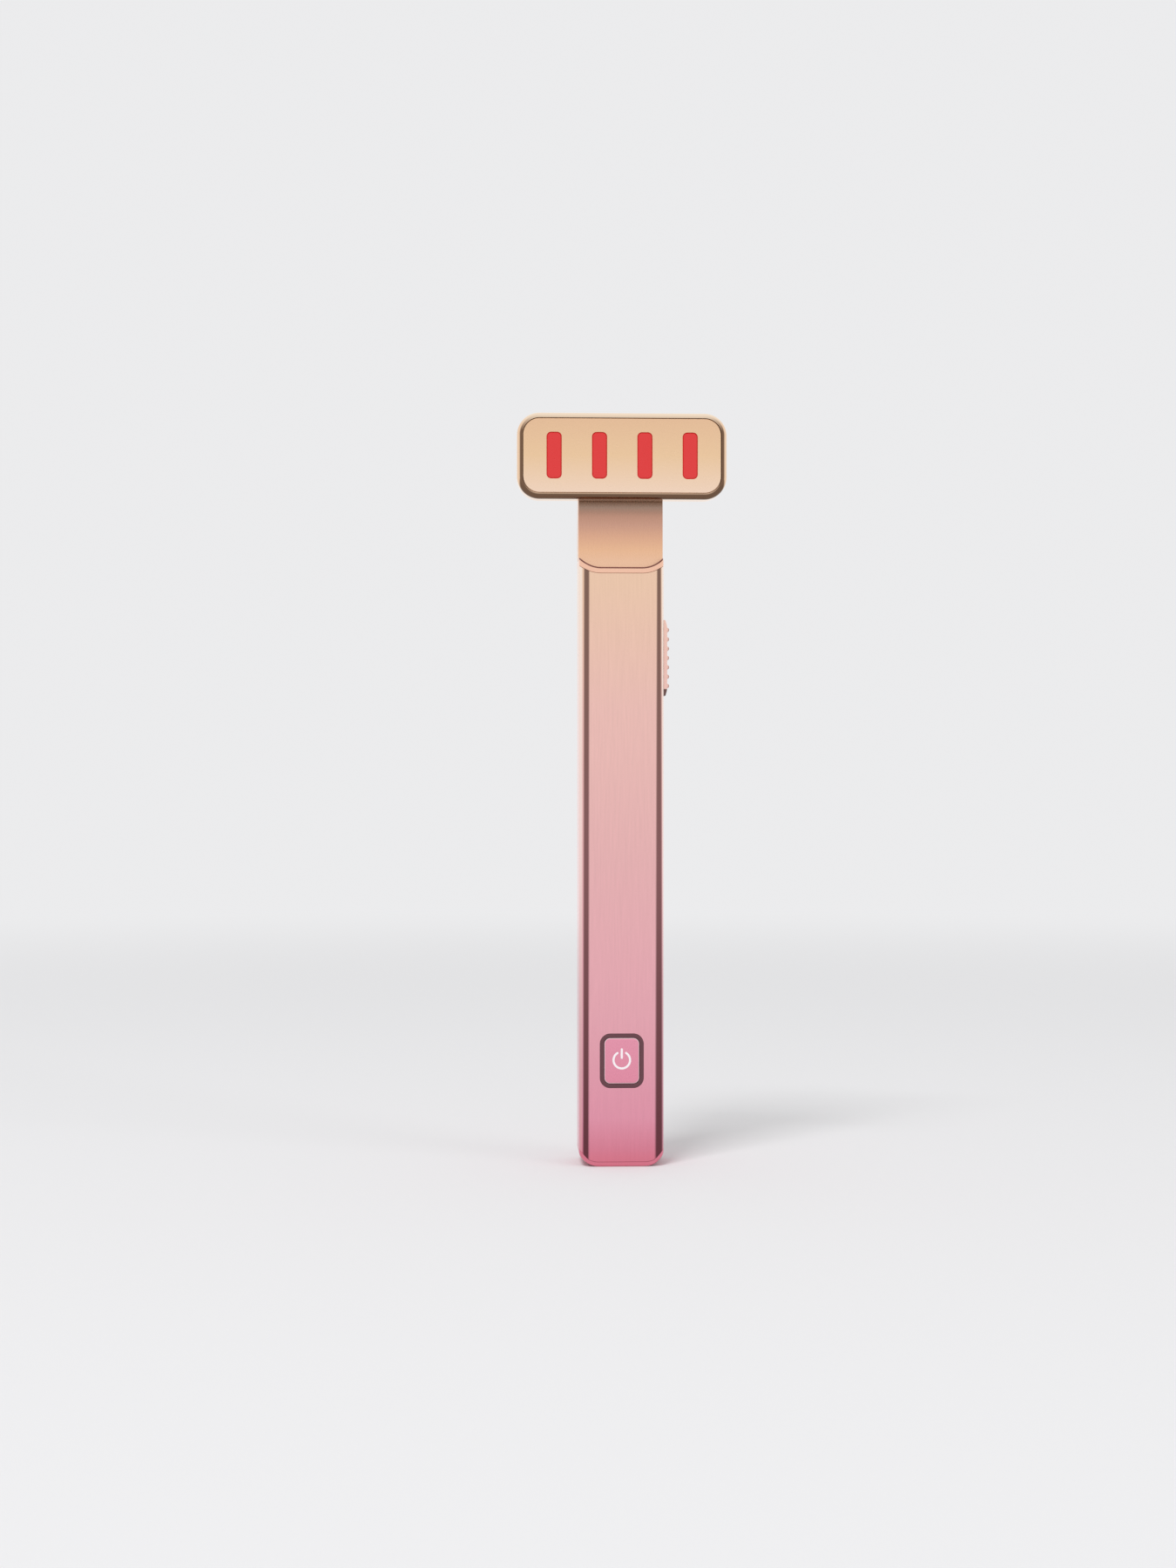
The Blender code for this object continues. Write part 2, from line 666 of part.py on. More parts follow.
def head_seal():
    outer = head_outline(PLATE_WIDTH, PLATE_HEIGHT, PLATE_CORNER)
    inner = head_outline(ROOM_WIDTH, ROOM_HEIGHT, ROOM_CORNER)
    return slab("head_seal", [outer, inner], FILM_FRONT, FILM_BACK, "Y", RUBBER)


def light_diffuser():
    outline = head_outline(ROOM_WIDTH - 2 * FIT, ROOM_HEIGHT - 2 * FIT, ROOM_CORNER)
    sheet = slab("light_diffuser", [outline], DIFFUSER_FRONT, DIFFUSER_BACK, "Y", LIGHT_RED)
    middle = (DIFFUSER_FRONT + DIFFUSER_BACK) / 2
    bars = [
        slab("diffuser_bar", [slot_outline(x, -SEAM)], PLATE_FRONT + SEAM, middle, "Y")
        for x in slot_places()
    ]
    return join(sheet, *bars)


def led_board():
    outline = head_outline(ROOM_WIDTH - 2 * FIT, ROOM_HEIGHT - 2 * FIT, ROOM_CORNER)
    holes = [
        circle(SCREW_RADIUS + FIT, SMALL_STEPS, (x, PIVOT_HEIGHT)) for x in light_screw_places().values()
    ]
    return slab("led_board", [outline] + holes, LIGHT_BOARD_FRONT, LIGHT_BOARD_BACK, "Y", WHITE_PLASTIC)


def leds():
    """Light packages behind each slot, numbered from the left and from below."""
    pieces = []
    for x in slot_places():
        for row in range(LEDS_IN_SLOT):
            z = PIVOT_HEIGHT + (row - (LEDS_IN_SLOT - 1) / 2) * LED_PITCH
            outline = rounded(LED_SIZE, LED_SIZE, LED_SIZE / 8, (x, z))
            name = f"led_{len(pieces) + 1}"
            pieces.append(slab(name, [outline], LED_FRONT, LED_BACK, "Y", LIGHT_RED))
    return pieces


def screw(name, x, z, seat, length):
    """A small pan-head screw whose head rests in front of a seat and points to the back."""
    head = slab(name, [circle(SCREW_HEAD_RADIUS, SMALL_STEPS, (x, z))],
                seat - SEAM - SCREW_HEAD_HEIGHT, seat - SEAM, "Y", STEEL)
    shank = slab(name + "_shank", [circle(SCREW_RADIUS, SMALL_STEPS, (x, z))],
                 seat - SEAM - SCREW_HEAD_HEIGHT / 2, seat + length, "Y")
    return join(head, shank)


def light_screws():
    length = LIGHT_BOARD_THICKNESS + LIGHT_SCREW_LENGTH
    return [
        screw(f"led_board_screw_{side}", x, PIVOT_HEIGHT, LIGHT_BOARD_FRONT, length)
        for side, x in light_screw_places().items()
    ]


def head_housing():
    """A moulded rear shell with a ledge for the face, a floor, two bosses and a stop pin."""
    outline = head_outline(HEAD_WIDTH, HEAD_HEIGHT, HEAD_CORNER)
    shell = slab("head_housing", [outline], HEAD_FRONT, HEAD_BACK, "Y", BRONZE)
    ease(shell, HEAD_BACK_EDGE, lambda p: p.z < 0, 3)
    rim = HEAD_THICKNESS / 2 - SEAM
    ease(shell, HEAD_FRONT_EDGE, lambda p: p.z > rim, 4)
    outline = head_outline(PLATE_WIDTH + 2 * FIT, PLATE_HEIGHT + 2 * FIT, PLATE_CORNER + FIT)
    seat = slab("plate_seat", [outline], HEAD_FRONT - OVERRUN, LEDGE_PLANE, "Y")
    room = slab("head_room", [head_outline(ROOM_WIDTH, ROOM_HEIGHT, ROOM_CORNER)],
                HEAD_FRONT - OVERRUN, HEAD_FLOOR, "Y")
    cut(shell, seat, room)
    anchor = HEAD_FLOOR + HEAD_WALL / 2
    for side, x in light_screw_places().items():
        boss = slab(f"boss_{side}", [circle(BOSS_RADIUS, SMALL_STEPS, (x, PIVOT_HEIGHT))],
                    LIGHT_BOARD_BACK + SEAM, anchor, "Y")
        join(shell, boss)
    pin_low = PIVOT_HEIGHT - STOP_PATH_RADIUS
    pin = slab("stop_pin", [circle(STOP_PIN_RADIUS, SMALL_STEPS, (0, pin_low))],
               anchor, NECK_FRONT + STOP_DEPTH - FIT, "Y")
    join(shell, pin)
    for side, x in light_screw_places().items():
        hole = slab(f"boss_hole_{side}", [circle(SCREW_RADIUS + FIT, SMALL_STEPS, (x, PIVOT_HEIGHT))],
                    LIGHT_BOARD_FRONT, LIGHT_BOARD_BACK + LIGHT_SCREW_LENGTH + FIT, "Y")
        cut(shell, hole)
    key = slab("key_recess", [head_outline(KEY_WIDTH + 2 * FIT, KEY_WIDTH + 2 * FIT, KEY_CORNER + FIT)],
               HEAD_FLOOR - OVERRUN / 3, HEAD_FLOOR + KEY_RECESS, "Y")
    hole = slab("shaft_hole", [circle(SHAFT_RADIUS + FIT, ROUND_STEPS, (0, PIVOT_HEIGHT))],
                HEAD_FLOOR - OVERRUN / 3, HEAD_BACK + OVERRUN, "Y")
    return cut(shell, key, hole)


def pivot_shaft():
    """A hollow shaft with a square key in front and a groove for its clip."""
    middle = (0, PIVOT_HEIGHT)
    shaft = slab("pivot_shaft", [circle(SHAFT_RADIUS, ROUND_STEPS, middle)],
                 KEY_FRONT + KEY_THICKNESS / 2, SHAFT_TIP, "Y", STEEL)
    key = slab("shaft_key", [head_outline(KEY_WIDTH, KEY_WIDTH, KEY_CORNER)], KEY_FRONT, KEY_BACK, "Y")
    radii = (SHAFT_RADIUS + OVERRUN, SHAFT_RADIUS - CLIP_BITE)
    ring = [circle(radius, ROUND_STEPS, middle) for radius in radii]
    groove = slab("clip_groove", ring, CLIP_FRONT - SEAM, CLIP_BACK + SEAM, "Y")
    bore = slab("shaft_bore", [circle(SHAFT_BORE, ROUND_STEPS, middle)],
                KEY_FRONT - OVERRUN, SHAFT_TIP + OVERRUN, "Y")
    join(shaft, key, solver=CLOSED_SOLVER)
    return cut(shaft, groove, bore, solver=CLOSED_SOLVER)


def retaining_clip():
    """An open ring that snaps into the shaft's groove."""
    middle = (0, PIVOT_HEIGHT)
    bite = SHAFT_RADIUS - CLIP_BITE + SEAM
    outlines = [circle(radius, ROUND_STEPS, middle) for radius in (CLIP_RADIUS, bite)]
    ring = slab("retaining_clip", outlines, CLIP_FRONT, CLIP_BACK, "Y", STEEL)
    mouth = slab("clip_mouth", [box((-CLIP_OPENING / 2, PIVOT_HEIGHT),
                                    (CLIP_OPENING / 2, PIVOT_HEIGHT + CLIP_RADIUS + OVERRUN))],
                 CLIP_FRONT - OVERRUN, CLIP_BACK + OVERRUN, "Y")
    return cut(ring, mouth)


# Neck

def neck_arm():
    """Arm and plug in one moulding, with its works reached from behind."""
    far_back = BODY_BACK + OVERRUN
    high = NECK_TOP + OVERRUN
    low = NECK_PLUG_BOTTOM - OVERRUN
    half = BODY_WIDTH / 2 + OVERRUN
    arm = slab("neck_arm", [body_section()], NECK_PLUG_BOTTOM, high, "Z", PEACH_METAL)
    recess = shoulder(SWING_GAP, high + OVERRUN)
    face = slab("neck_recess", [recess], BODY_FRONT - OVERRUN, NECK_FRONT, "Y")
    plug = rounded(INNER_WIDTH - 2 * FIT, INNER_DEPTH - 2 * FIT, INNER_CORNER, (0, BODY_Y))
    around = box((-half, BODY_FRONT - OVERRUN), (half, far_back))
    sleeve = slab("plug_sleeve", [around, plug], low, HEAD_END + HEAD_CORNER + OVERRUN, "Z")
    above = slab("plug_shoulder", [shoulder(SWING_GAP - SEAM, high + 2 * OVERRUN)],
                 BODY_FRONT - 2 * OVERRUN, far_back + OVERRUN, "Y")
    cut(sleeve, above)
    back = slab("neck_taper", [behind(neck_back_view(0.0), far_back, None, high + OVERRUN)], -half, half, "X")
    outside = slab("neck_outside", [neck_front_view(0.0, low - OVERRUN, OVERRUN)],
                   BODY_FRONT - OVERRUN, far_back + OVERRUN, "Y")
    mouth = slab("cover_mouth", [neck_front_view(NECK_SIDE, NECK_POCKET_BOTTOM, 0.0)],
                 NECK_FLOOR, far_back, "Y")
    lid = neck_back_view(NECK_COVER_THICKNESS + SEAM)
    depth = slab("mouth_depth", [behind(lid, far_back + OVERRUN, low, high + OVERRUN)], -half, half, "X")
    change(mouth, "INTERSECT", depth)
    inside = neck_front_view(NECK_SIDE + NECK_LEDGE, NECK_POCKET_BOTTOM + NECK_LEDGE, 0.0)
    pocket = slab("neck_pocket", [inside], NECK_FLOOR, far_back + OVERRUN, "Y")
    bore = slab("neck_bore", [circle(SHAFT_RADIUS + SHAFT_RUNNING, ROUND_STEPS, (0, PIVOT_HEIGHT))],
                NECK_FRONT - OVERRUN, NECK_FLOOR + OVERRUN, "Y")
    pin_turn = math.degrees(math.asin((STOP_PIN_RADIUS + FIT) / STOP_PATH_RADIUS)) + STOP_SLACK
    path = sector(STOP_PATH_RADIUS, STOP_PIN_RADIUS + GAP,
                  270 - SWIVEL_LIMIT - pin_turn, 270 + SWIVEL_LIMIT + pin_turn)
    groove = slab("stop_groove", [moved(path, 0, PIVOT_HEIGHT)],
                  NECK_FRONT - OVERRUN, NECK_FRONT + STOP_DEPTH, "Y")
    way = slab("cable_way", [box((-CABLE_WAY_WIDTH / 2, CABLE_Y - CABLE_WAY_DEPTH / 2),
                                 (CABLE_WAY_WIDTH / 2, CABLE_Y + CABLE_WAY_DEPTH / 2))],
               low, NECK_POCKET_BOTTOM + NECK_LEDGE + OVERRUN, "Z")
    change(arm, "INTERSECT", outside)
    return cut(arm, face, sleeve, back, mouth, pocket, bore, groove, way)


def neck_back_cover():
    """A curved lid, flush with the neck's back."""
    half = BODY_WIDTH / 2 + OVERRUN
    bottom = NECK_POCKET_BOTTOM + FIT
    cover = slab("neck_back_cover", [neck_front_view(NECK_SIDE + FIT, bottom, 0.0)],
                 NECK_FLOOR, BODY_BACK + OVERRUN, "Y", PEACH_METAL)
    outer = neck_back_view(0.0)
    inner = neck_back_view(NECK_COVER_THICKNESS)
    top = NECK_TOP + OVERRUN
    low = NECK_PLUG_BOTTOM
    band = (
        [(outer[0][0], low)] + outer + [(outer[-1][0], top), (inner[-1][0], top)]
        + inner[::-1] + [(inner[0][0], low)]
    )
    change(cover, "INTERSECT", slab("cover_band", [band], -half, half, "X"))
    return cover


def friction_washer():
    radii = (WASHER_RADIUS, SHAFT_RADIUS + FIT)
    outlines = [circle(radius, ROUND_STEPS, (0, PIVOT_HEIGHT)) for radius in radii]
    return slab("friction_washer", outlines, WASHER_FRONT, WASHER_BACK, "Y", WHITE_PLASTIC)


def wave_spring():
    """A flat ring bent into waves round its middle."""
    outlines = [circle(radius, ROUND_STEPS, (0, PIVOT_HEIGHT)) for radius in (SPRING_RADIUS, SPRING_BORE)]
    low = SPRING_FRONT + SPRING_WAVE
    ring = slab("wave_spring", outlines, low, low + SPRING_STRIP, "Y", STEEL)
    for vertex in ring.data.vertices:
        angle = math.atan2(vertex.co.y - PIVOT_HEIGHT, vertex.co.x)
        vertex.co.z += SPRING_WAVE * math.sin(SPRING_WAVES * angle)
    return ring


def top_collar():
    """A bright ring between tube and neck, cut to the same curve on both sides."""
    low = HEAD_END - SWING_GAP - COLLAR_HEIGHT - OVERRUN
    high = HEAD_END + HEAD_CORNER + OVERRUN
    ring = slab("top_collar", [body_section(), body_section(BODY_WALL)], low, high, "Z", PEACH_METAL)
    front = BODY_FRONT - OVERRUN
    back = BODY_BACK + OVERRUN
    above = slab("collar_top", [shoulder(SWING_GAP, high + OVERRUN)], front, back, "Y")
    base = shoulder(SWING_GAP + COLLAR_HEIGHT - SEAM, low - OVERRUN)
    below = slab("collar_base", [base], front, back, "Y")
    cut(ring, above, below)
    edge = ring.modifiers.new("edges", "BEVEL")
    edge.limit_method = "ANGLE"
    edge.angle_limit = SHARP_ANGLE
    edge.width = COLLAR_EDGE
    return ring


# Handle shell

def button_window(spare):
    """The ring's outline in the tube's front, with some spare all round."""
    wide = BUTTON_WIDTH + 2 * (FIT + BUTTON_RING_WIDTH + spare)
    tall = BUTTON_LENGTH + 2 * (FIT + BUTTON_RING_WIDTH + spare)
    return rounded(wide, tall, BUTTON_CORNER + BUTTON_RING_WIDTH + spare, (0, BUTTON_HEIGHT))


def handle_tube():
    """A drawn tube with its top, foot, button window and slider slot cut."""
    high = HEAD_END + HEAD_CORNER + OVERRUN
    front = BODY_FRONT - OVERRUN
    back = BODY_BACK + OVERRUN
    tube = slab("handle_tube", [body_section(), body_section(BODY_WALL)], 0.0, high, "Z", ROSE_METAL)
    top = slab("tube_top", [shoulder(SWING_GAP + COLLAR_HEIGHT, high + OVERRUN)], front, back, "Y")
    foot = slab("tube_foot", [foot_seam(SEAM, -OVERRUN)], front, back, "Y")
    window = slab("tube_window", [button_window(SEAM)], front, BODY_Y, "Y")
    low = SLIDER_HEIGHT - SLIDER_TRAVEL - STEM_LENGTH / 2 - GAP
    high = SLIDER_HEIGHT + STEM_LENGTH / 2 + GAP
    half = STEM_WIDTH / 2 + GAP
    slot = slab("slider_slot", [box((BODY_Y - half, low), (BODY_Y + half, high))],
                0.0, SIDE_WALL + OVERRUN, "X")
    return cut(tube, top, foot, window, slot, solver=CLOSED_SOLVER)


def socket_outline(spare):
    """The charging socket's long oval, seen from below."""
    depth = SOCKET_DEPTH + 2 * spare
    return rounded(SOCKET_WIDTH + 2 * spare, depth, depth / 2 - SEAM, (0, BODY_Y))


def bottom_cap():
    """An end cap whose lip turns up the round corners, with an open plug inside the tube."""
    front = BODY_FRONT - OVERRUN
    back = BODY_BACK + OVERRUN
    cap = slab("bottom_cap", [body_section()], 0.0, FOOT_CORNER_UP + CAP_FLOOR, "Z", ROSE_METAL)
    lip = slab("cap_lip", [foot_seam(0.0, 2 * CAP_PLUG_TOP)], front, back, "Y")
    corners = slab("cap_round", [foot_round(2 * CAP_PLUG_TOP)], front, back, "Y")
    outer = INNER_WIDTH - 2 * FIT
    deep = INNER_DEPTH - 2 * FIT
    section = rounded(outer, deep, INNER_CORNER, (0, BODY_Y))
    plug = slab("cap_plug", [section], CAP_LIP / 2, CAP_PLUG_TOP, "Z")
    side = slab("cap_plug_round", [foot_round(2 * CAP_PLUG_TOP)], front, back, "Y")
    change(plug, "INTERSECT", side, solver=CLOSED_SOLVER)
    wall = 2 * CAP_PLUG_WALL
    room = slab("cap_room", [rounded(outer - wall, deep - wall, INNER_CORNER / 2, (0, BODY_Y))],
                CAP_FLOOR, CAP_PLUG_TOP + OVERRUN, "Z")
    opening = slab("cap_opening", [socket_outline(FIT)], -OVERRUN, CAP_FLOOR + OVERRUN, "Z")
    around = rounded(BODY_WIDTH, BODY_DEPTH, BODY_CORNER, (0, BODY_Y))
    neck = rounded(outer - 2 * SEAL_DEPTH, deep - 2 * SEAL_DEPTH, INNER_CORNER / 2, (0, BODY_Y))
    groove = slab("seal_groove", [around, neck],
                  SEAL_PLACE - SEAM, SEAL_PLACE + SEAL_HEIGHT + SEAM, "Z")
    change(cap, "INTERSECT", corners, solver=CLOSED_SOLVER)
    cut(cap, lip, solver=CLOSED_SOLVER)
    join(cap, plug, solver=CLOSED_SOLVER)
    return cut(cap, room, opening, groove, solver=CLOSED_SOLVER)


def cap_seal():
    outer = INNER_WIDTH - 2 * SEAM
    deep = INNER_DEPTH - 2 * SEAM
    inner_spare = 2 * (FIT + SEAL_DEPTH - SEAM)
    middle = (0, BODY_Y)
    inner = rounded(INNER_WIDTH - inner_spare, INNER_DEPTH - inner_spare, INNER_CORNER / 2 + SEAM, middle)
    return slab("cap_seal", [rounded(outer, deep, INNER_CORNER, middle), inner],
                SEAL_PLACE, SEAL_PLACE + SEAL_HEIGHT, "Z", RUBBER)


def usb_shell():
    """The socket's metal shell, open below."""
    top = SOCKET_RECESS + SOCKET_LENGTH
    shell = slab("usb_shell", [socket_outline(0.0)], SOCKET_RECESS, top, "Z", STEEL)
    room = slab("usb_room", [socket_outline(-SOCKET_WALL)], -OVERRUN, top - SOCKET_WALL, "Z")
    return cut(shell, room)


def usb_tongue():
    top = SOCKET_RECESS + SOCKET_LENGTH - SOCKET_WALL - SEAM
    outline = rounded(TONGUE_WIDTH, TONGUE_THICKNESS, TONGUE_THICKNESS / 4, (0, BODY_Y))
    return slab("usb_tongue", [outline], top - TONGUE_LENGTH, top, "Z", BLACK_PLASTIC)


# Handle works

def inner_chassis():
    """A moulded tray with rooms for the board, the battery, the motor and the mode switch."""
    depth = CHASSIS_REAR - CHASSIS_FRONT
    middle = (0, (CHASSIS_REAR + CHASSIS_FRONT) / 2)
    tray = slab("inner_chassis", [rounded(CHASSIS_WIDTH, depth, CHASSIS_CORNER, middle)],
                CHASSIS_BOTTOM, CHASSIS_TOP, "Z", BLACK_PLASTIC)
    half = CHASSIS_WIDTH / 2 - CHASSIS_RAIL
    front = CHASSIS_FRONT - OVERRUN
    floor = CHASSIS_REAR - CHASSIS_BACK
    lower = SCREW_BULKHEAD / 2
    rooms = {
        "socket_room": (CHASSIS_BOTTOM - OVERRUN, LOWER_SCREW_HEIGHT - lower),
        "board_room": (LOWER_SCREW_HEIGHT + lower, UPPER_SCREW_HEIGHT - lower),
    }
    for name, (low, high) in rooms.items():
        cut(tray, slab(name, [box((-half, front), (half, floor))], low, high, "Z"))
    cell = circle(BATTERY_RADIUS + BATTERY_FIT, ROUND_STEPS, (0, BODY_Y))
    cut(tray, slab("cell_room", [cell], BATTERY_ROOM_BOTTOM, BATTERY_ROOM_TOP, "Z"))
    motor = circle(MOTOR_RADIUS + SLEEVE_WALL + FIT, ROUND_STEPS, (MOTOR_X, BODY_Y))
    cut(tray, slab("motor_room", [motor], WORKS_ROOM_BOTTOM, WORKS_ROOM_TOP, "Z"))
    board_half = SWITCH_BOARD_LENGTH / 2 + GAP
    switch = box((SWITCH_BOARD_INNER - FIT, front), (CHASSIS_WIDTH, BODY_Y + SWITCH_BOARD_WIDTH / 2 + GAP))
    cut(tray, slab("switch_room", [switch], SLIDER_HEIGHT - SLIDER_TRAVEL / 2 - board_half,
                   SLIDER_HEIGHT - SLIDER_TRAVEL / 2 + board_half, "Z"))
    for name, height in (("lower", LOWER_SCREW_HEIGHT), ("upper", UPPER_SCREW_HEIGHT)):
        hole = circle(SCREW_RADIUS + FIT, SMALL_STEPS, (0, height))
        cut(tray, slab(f"chassis_hole_{name}", [hole], front, BOARD_FRONT + SCREW_LENGTH + GAP, "Y"))
    return tray


def main_board():
    """A long board with a narrow tail between the end cap's walls."""
    half = BOARD_WIDTH / 2
    tail = BOARD_TAIL_WIDTH / 2
    low = CAP_FLOOR + GAP
    outline = [
        (-tail, low), (tail, low), (tail, BOARD_BOTTOM), (half, BOARD_BOTTOM),
        (half, BOARD_TOP), (-half, BOARD_TOP), (-half, BOARD_BOTTOM), (-tail, BOARD_BOTTOM),
    ]
    heights = (LOWER_SCREW_HEIGHT, UPPER_SCREW_HEIGHT)
    holes = [circle(SCREW_RADIUS + FIT, SMALL_STEPS, (0, z)) for z in heights]
    return slab("main_board", [outline] + holes, BOARD_FRONT, BOARD_BACK, "Y", BOARD_GREEN)


def main_board_screws():
    return [
        screw("main_board_screw_lower", 0.0, LOWER_SCREW_HEIGHT, BOARD_FRONT, SCREW_LENGTH),
        screw("main_board_screw_upper", 0.0, UPPER_SCREW_HEIGHT, BOARD_FRONT, SCREW_LENGTH),
    ]


def battery_cell():
    """A round cell with soft edges."""
    radius = BATTERY_RADIUS
    soft = radius - BATTERY_EDGE
    profile = [(0.0, BATTERY_BOTTOM)]
    profile += arc((soft, BATTERY_BOTTOM + BATTERY_EDGE), (BATTERY_EDGE, BATTERY_EDGE), 270, 360, 2)
    profile += arc((soft, BATTERY_TOP - BATTERY_EDGE), (BATTERY_EDGE, BATTERY_EDGE), 0, 90, 2)
    profile.append((0.0, BATTERY_TOP))
    return turned("battery_cell", profile, (0, BODY_Y, 0), CELL_BLUE)


def battery_tabs():
    """Welded strips at both ends, which reach forward to the leads."""
    half = TAB_WIDTH / 2
    outline = box((-half, BODY_Y - TAB_LENGTH / 2), (half, BODY_Y + TAB_LENGTH / 2))
    low = BATTERY_BOTTOM - FIT
    high = BATTERY_TOP + FIT
    return [
        slab("battery_tab_bottom", [outline], low - TAB_THICKNESS, low, "Z", STEEL),
        slab("battery_tab_top", [outline], high, high + TAB_THICKNESS, "Z", STEEL),
    ]


def tact_switch():
    """The switch body on the board's front, with a well for its plunger."""
    back = BOARD_FRONT - SEAM
    body = slab("tact_switch", [rounded(TACT_SIZE, TACT_SIZE, TACT_SIZE / 10, (0, BUTTON_HEIGHT))],
                back - TACT_HEIGHT, back, "Y", STEEL)
    well = slab("tact_well", [circle(PLUNGER_RADIUS + FIT, SMALL_STEPS, (0, BUTTON_HEIGHT))],
                back - TACT_HEIGHT - OVERRUN, plunger_back() + BUTTON_TRAVEL + FIT, "Y")
    return cut(body, well)


def button_back():
    """The rear face of the power button's flange."""
    return ring_flange_back() + SEAM + BUTTON_FLANGE_THICKNESS


def ring_flange_back():
    """The rear face of the ring's flange, which sits behind the tube's wall."""
    return INNER_FRONT + SEAM + BUTTON_FLANGE_THICKNESS


def plunger_back():
    """The rear end of the plunger, inside the switch body."""
    return BOARD_FRONT - SEAM - TACT_HEIGHT + PLUNGER_HEAD - BUTTON_TRAVEL / 2


def tact_plunger():
    front = button_back() + SEAM
    return slab("tact_plunger", [circle(PLUNGER_RADIUS, SMALL_STEPS, (0, BUTTON_HEIGHT))],
                front, plunger_back(), "Y", BLACK_PLASTIC)


def button_outline(spare):
    """The power button's face, with some spare all round."""
    wide = BUTTON_WIDTH + 2 * spare
    return rounded(wide, BUTTON_LENGTH + 2 * spare, BUTTON_CORNER + spare, (0, BUTTON_HEIGHT))


def button_ring():
    """A dark ring that shows round the button, with a flange behind the tube's wall."""
    ring = slab("button_ring", [button_window(0.0), button_outline(FIT)],
                BODY_FRONT - RING_PROUD, ring_flange_back(), "Y", DARK_METAL)
    flange = slab("ring_flange", [button_window(BUTTON_FLANGE), button_outline(FIT + SEAM)],
                  INNER_FRONT + SEAM, ring_flange_back(), "Y")
    return join(ring, flange)


def power_button():
    """A rounded button held behind the ring by its own flange."""
    button = slab("power_button", [button_outline(0.0)], BODY_FRONT, button_back(), "Y", ROSE_METAL)
    flange = slab("button_flange", [button_outline(BUTTON_FLANGE)],
                  ring_flange_back() + SEAM, button_back() - SEAM / 2, "Y")
    return join(button, flange)


def ground_spring():
    """A bent leaf from the board that touches the tube's front wall from inside."""
    root = BOARD_FRONT - SEAM
    tip = INNER_FRONT + FIT
    low = SPRING_LEAF_HEIGHT
    reach = SPRING_LEAF_LENGTH
    thick = SPRING_LEAF_THICKNESS
    line_shares = ((0.0, 0.0), (0.35, 0.0), (0.75, 0.95), (0.85, 1.0), (0.93, 0.95), (1.0, 0.75))
    line = [(root - thick + (tip - root + thick) * out, low + reach * up) for up, out in line_shares]
    back = [(y + thick, z) for y, z in reversed(line)]
    half = SPRING_LEAF_WIDTH / 2
    return slab("ground_spring", [line + back], -half, half, "X", STEEL)


# Mode slider and its switch

def mode_slider():
    """A crowned pad with ribs across it and a stem through the tube's side."""
    base = SIDE_WALL + FIT
    top = SIDE_WALL + SLIDER_RISE
    half = SLIDER_LENGTH / 2
    tip = base + SLIDER_TIP
    low = SLIDER_HEIGHT - half
    high = SLIDER_HEIGHT + half
    line = [(base, low), (tip, low), (top, low + SLIDER_RAMP)]
    for i in range(RIB_COUNT):
        z = SLIDER_HEIGHT + (i - (RIB_COUNT - 1) / 2) * RIB_PITCH
        crown = arc((top, z), (RIB_HEIGHT, RIB_WIDTH / 2), -90, 90, CORNER_STEPS)
        line += crown
    line += [(top, high - SLIDER_RAMP), (tip, high), (base, high)]
    wide = SLIDER_WIDTH / 2
    pad = slab("mode_slider", [line], BODY_Y - wide, BODY_Y + wide, "Y", PEACH_METAL)
    stem_half = STEM_WIDTH / 2
    stem = slab("slider_stem", [box((BODY_Y - stem_half, SLIDER_HEIGHT - STEM_LENGTH / 2),
                                    (BODY_Y + stem_half, SLIDER_HEIGHT + STEM_LENGTH / 2))],
                CARRIAGE_OUTER + SEAM, (base + top) / 2, "X")
    return join(pad, stem)


def slider_carriage():
    """The plate behind the wall, with a finger that drives the switch."""
    wide = CARRIAGE_WIDTH / 2
    half = CARRIAGE_LENGTH / 2
    outline = box((BODY_Y - wide, SLIDER_HEIGHT - half), (BODY_Y + wide, SLIDER_HEIGHT + half))
    plate = slab("slider_carriage", [outline], CARRIAGE_INNER, CARRIAGE_OUTER, "X", BLACK_PLASTIC)
    side = FINGER_WIDTH / 2
    up = FINGER_LENGTH / 2
    outline = box((BODY_Y - side, SLIDER_HEIGHT - up), (BODY_Y + side, SLIDER_HEIGHT + up))
    finger = slab("slider_finger", [outline], CARRIAGE_INNER - FINGER_REACH,
                  CARRIAGE_INNER + CARRIAGE_THICKNESS / 2, "X")
    return join(plate, finger)


def slide_switch_body():
    middle = SLIDER_HEIGHT - SLIDER_TRAVEL / 2
    outline = rounded(SWITCH_WIDTH, SWITCH_LENGTH, SWITCH_WIDTH / 12, (BODY_Y, middle))
    body = slab("slide_switch_body", [outline], SWITCH_INNER, SWITCH_OUTER, "X", STEEL)
    side = FINGER_WIDTH / 2 + GAP
    up = FINGER_LENGTH / 2 + SLIDER_TRAVEL / 2 + GAP
    path = slab("finger_path", [box((BODY_Y - side, middle - up), (BODY_Y + side, middle + up))],
                CARRIAGE_INNER - FINGER_REACH - GAP, CARRIAGE_OUTER, "X")
    return cut(body, path)


def switch_board():
    middle = SLIDER_HEIGHT - SLIDER_TRAVEL / 2
    outline = rounded(SWITCH_BOARD_WIDTH, SWITCH_BOARD_LENGTH, SWITCH_BOARD_WIDTH / 16, (BODY_Y, middle))
    return slab("switch_board", [outline], SWITCH_BOARD_INNER, SWITCH_BOARD_OUTER, "X", BOARD_GREEN)


# Vibration motor

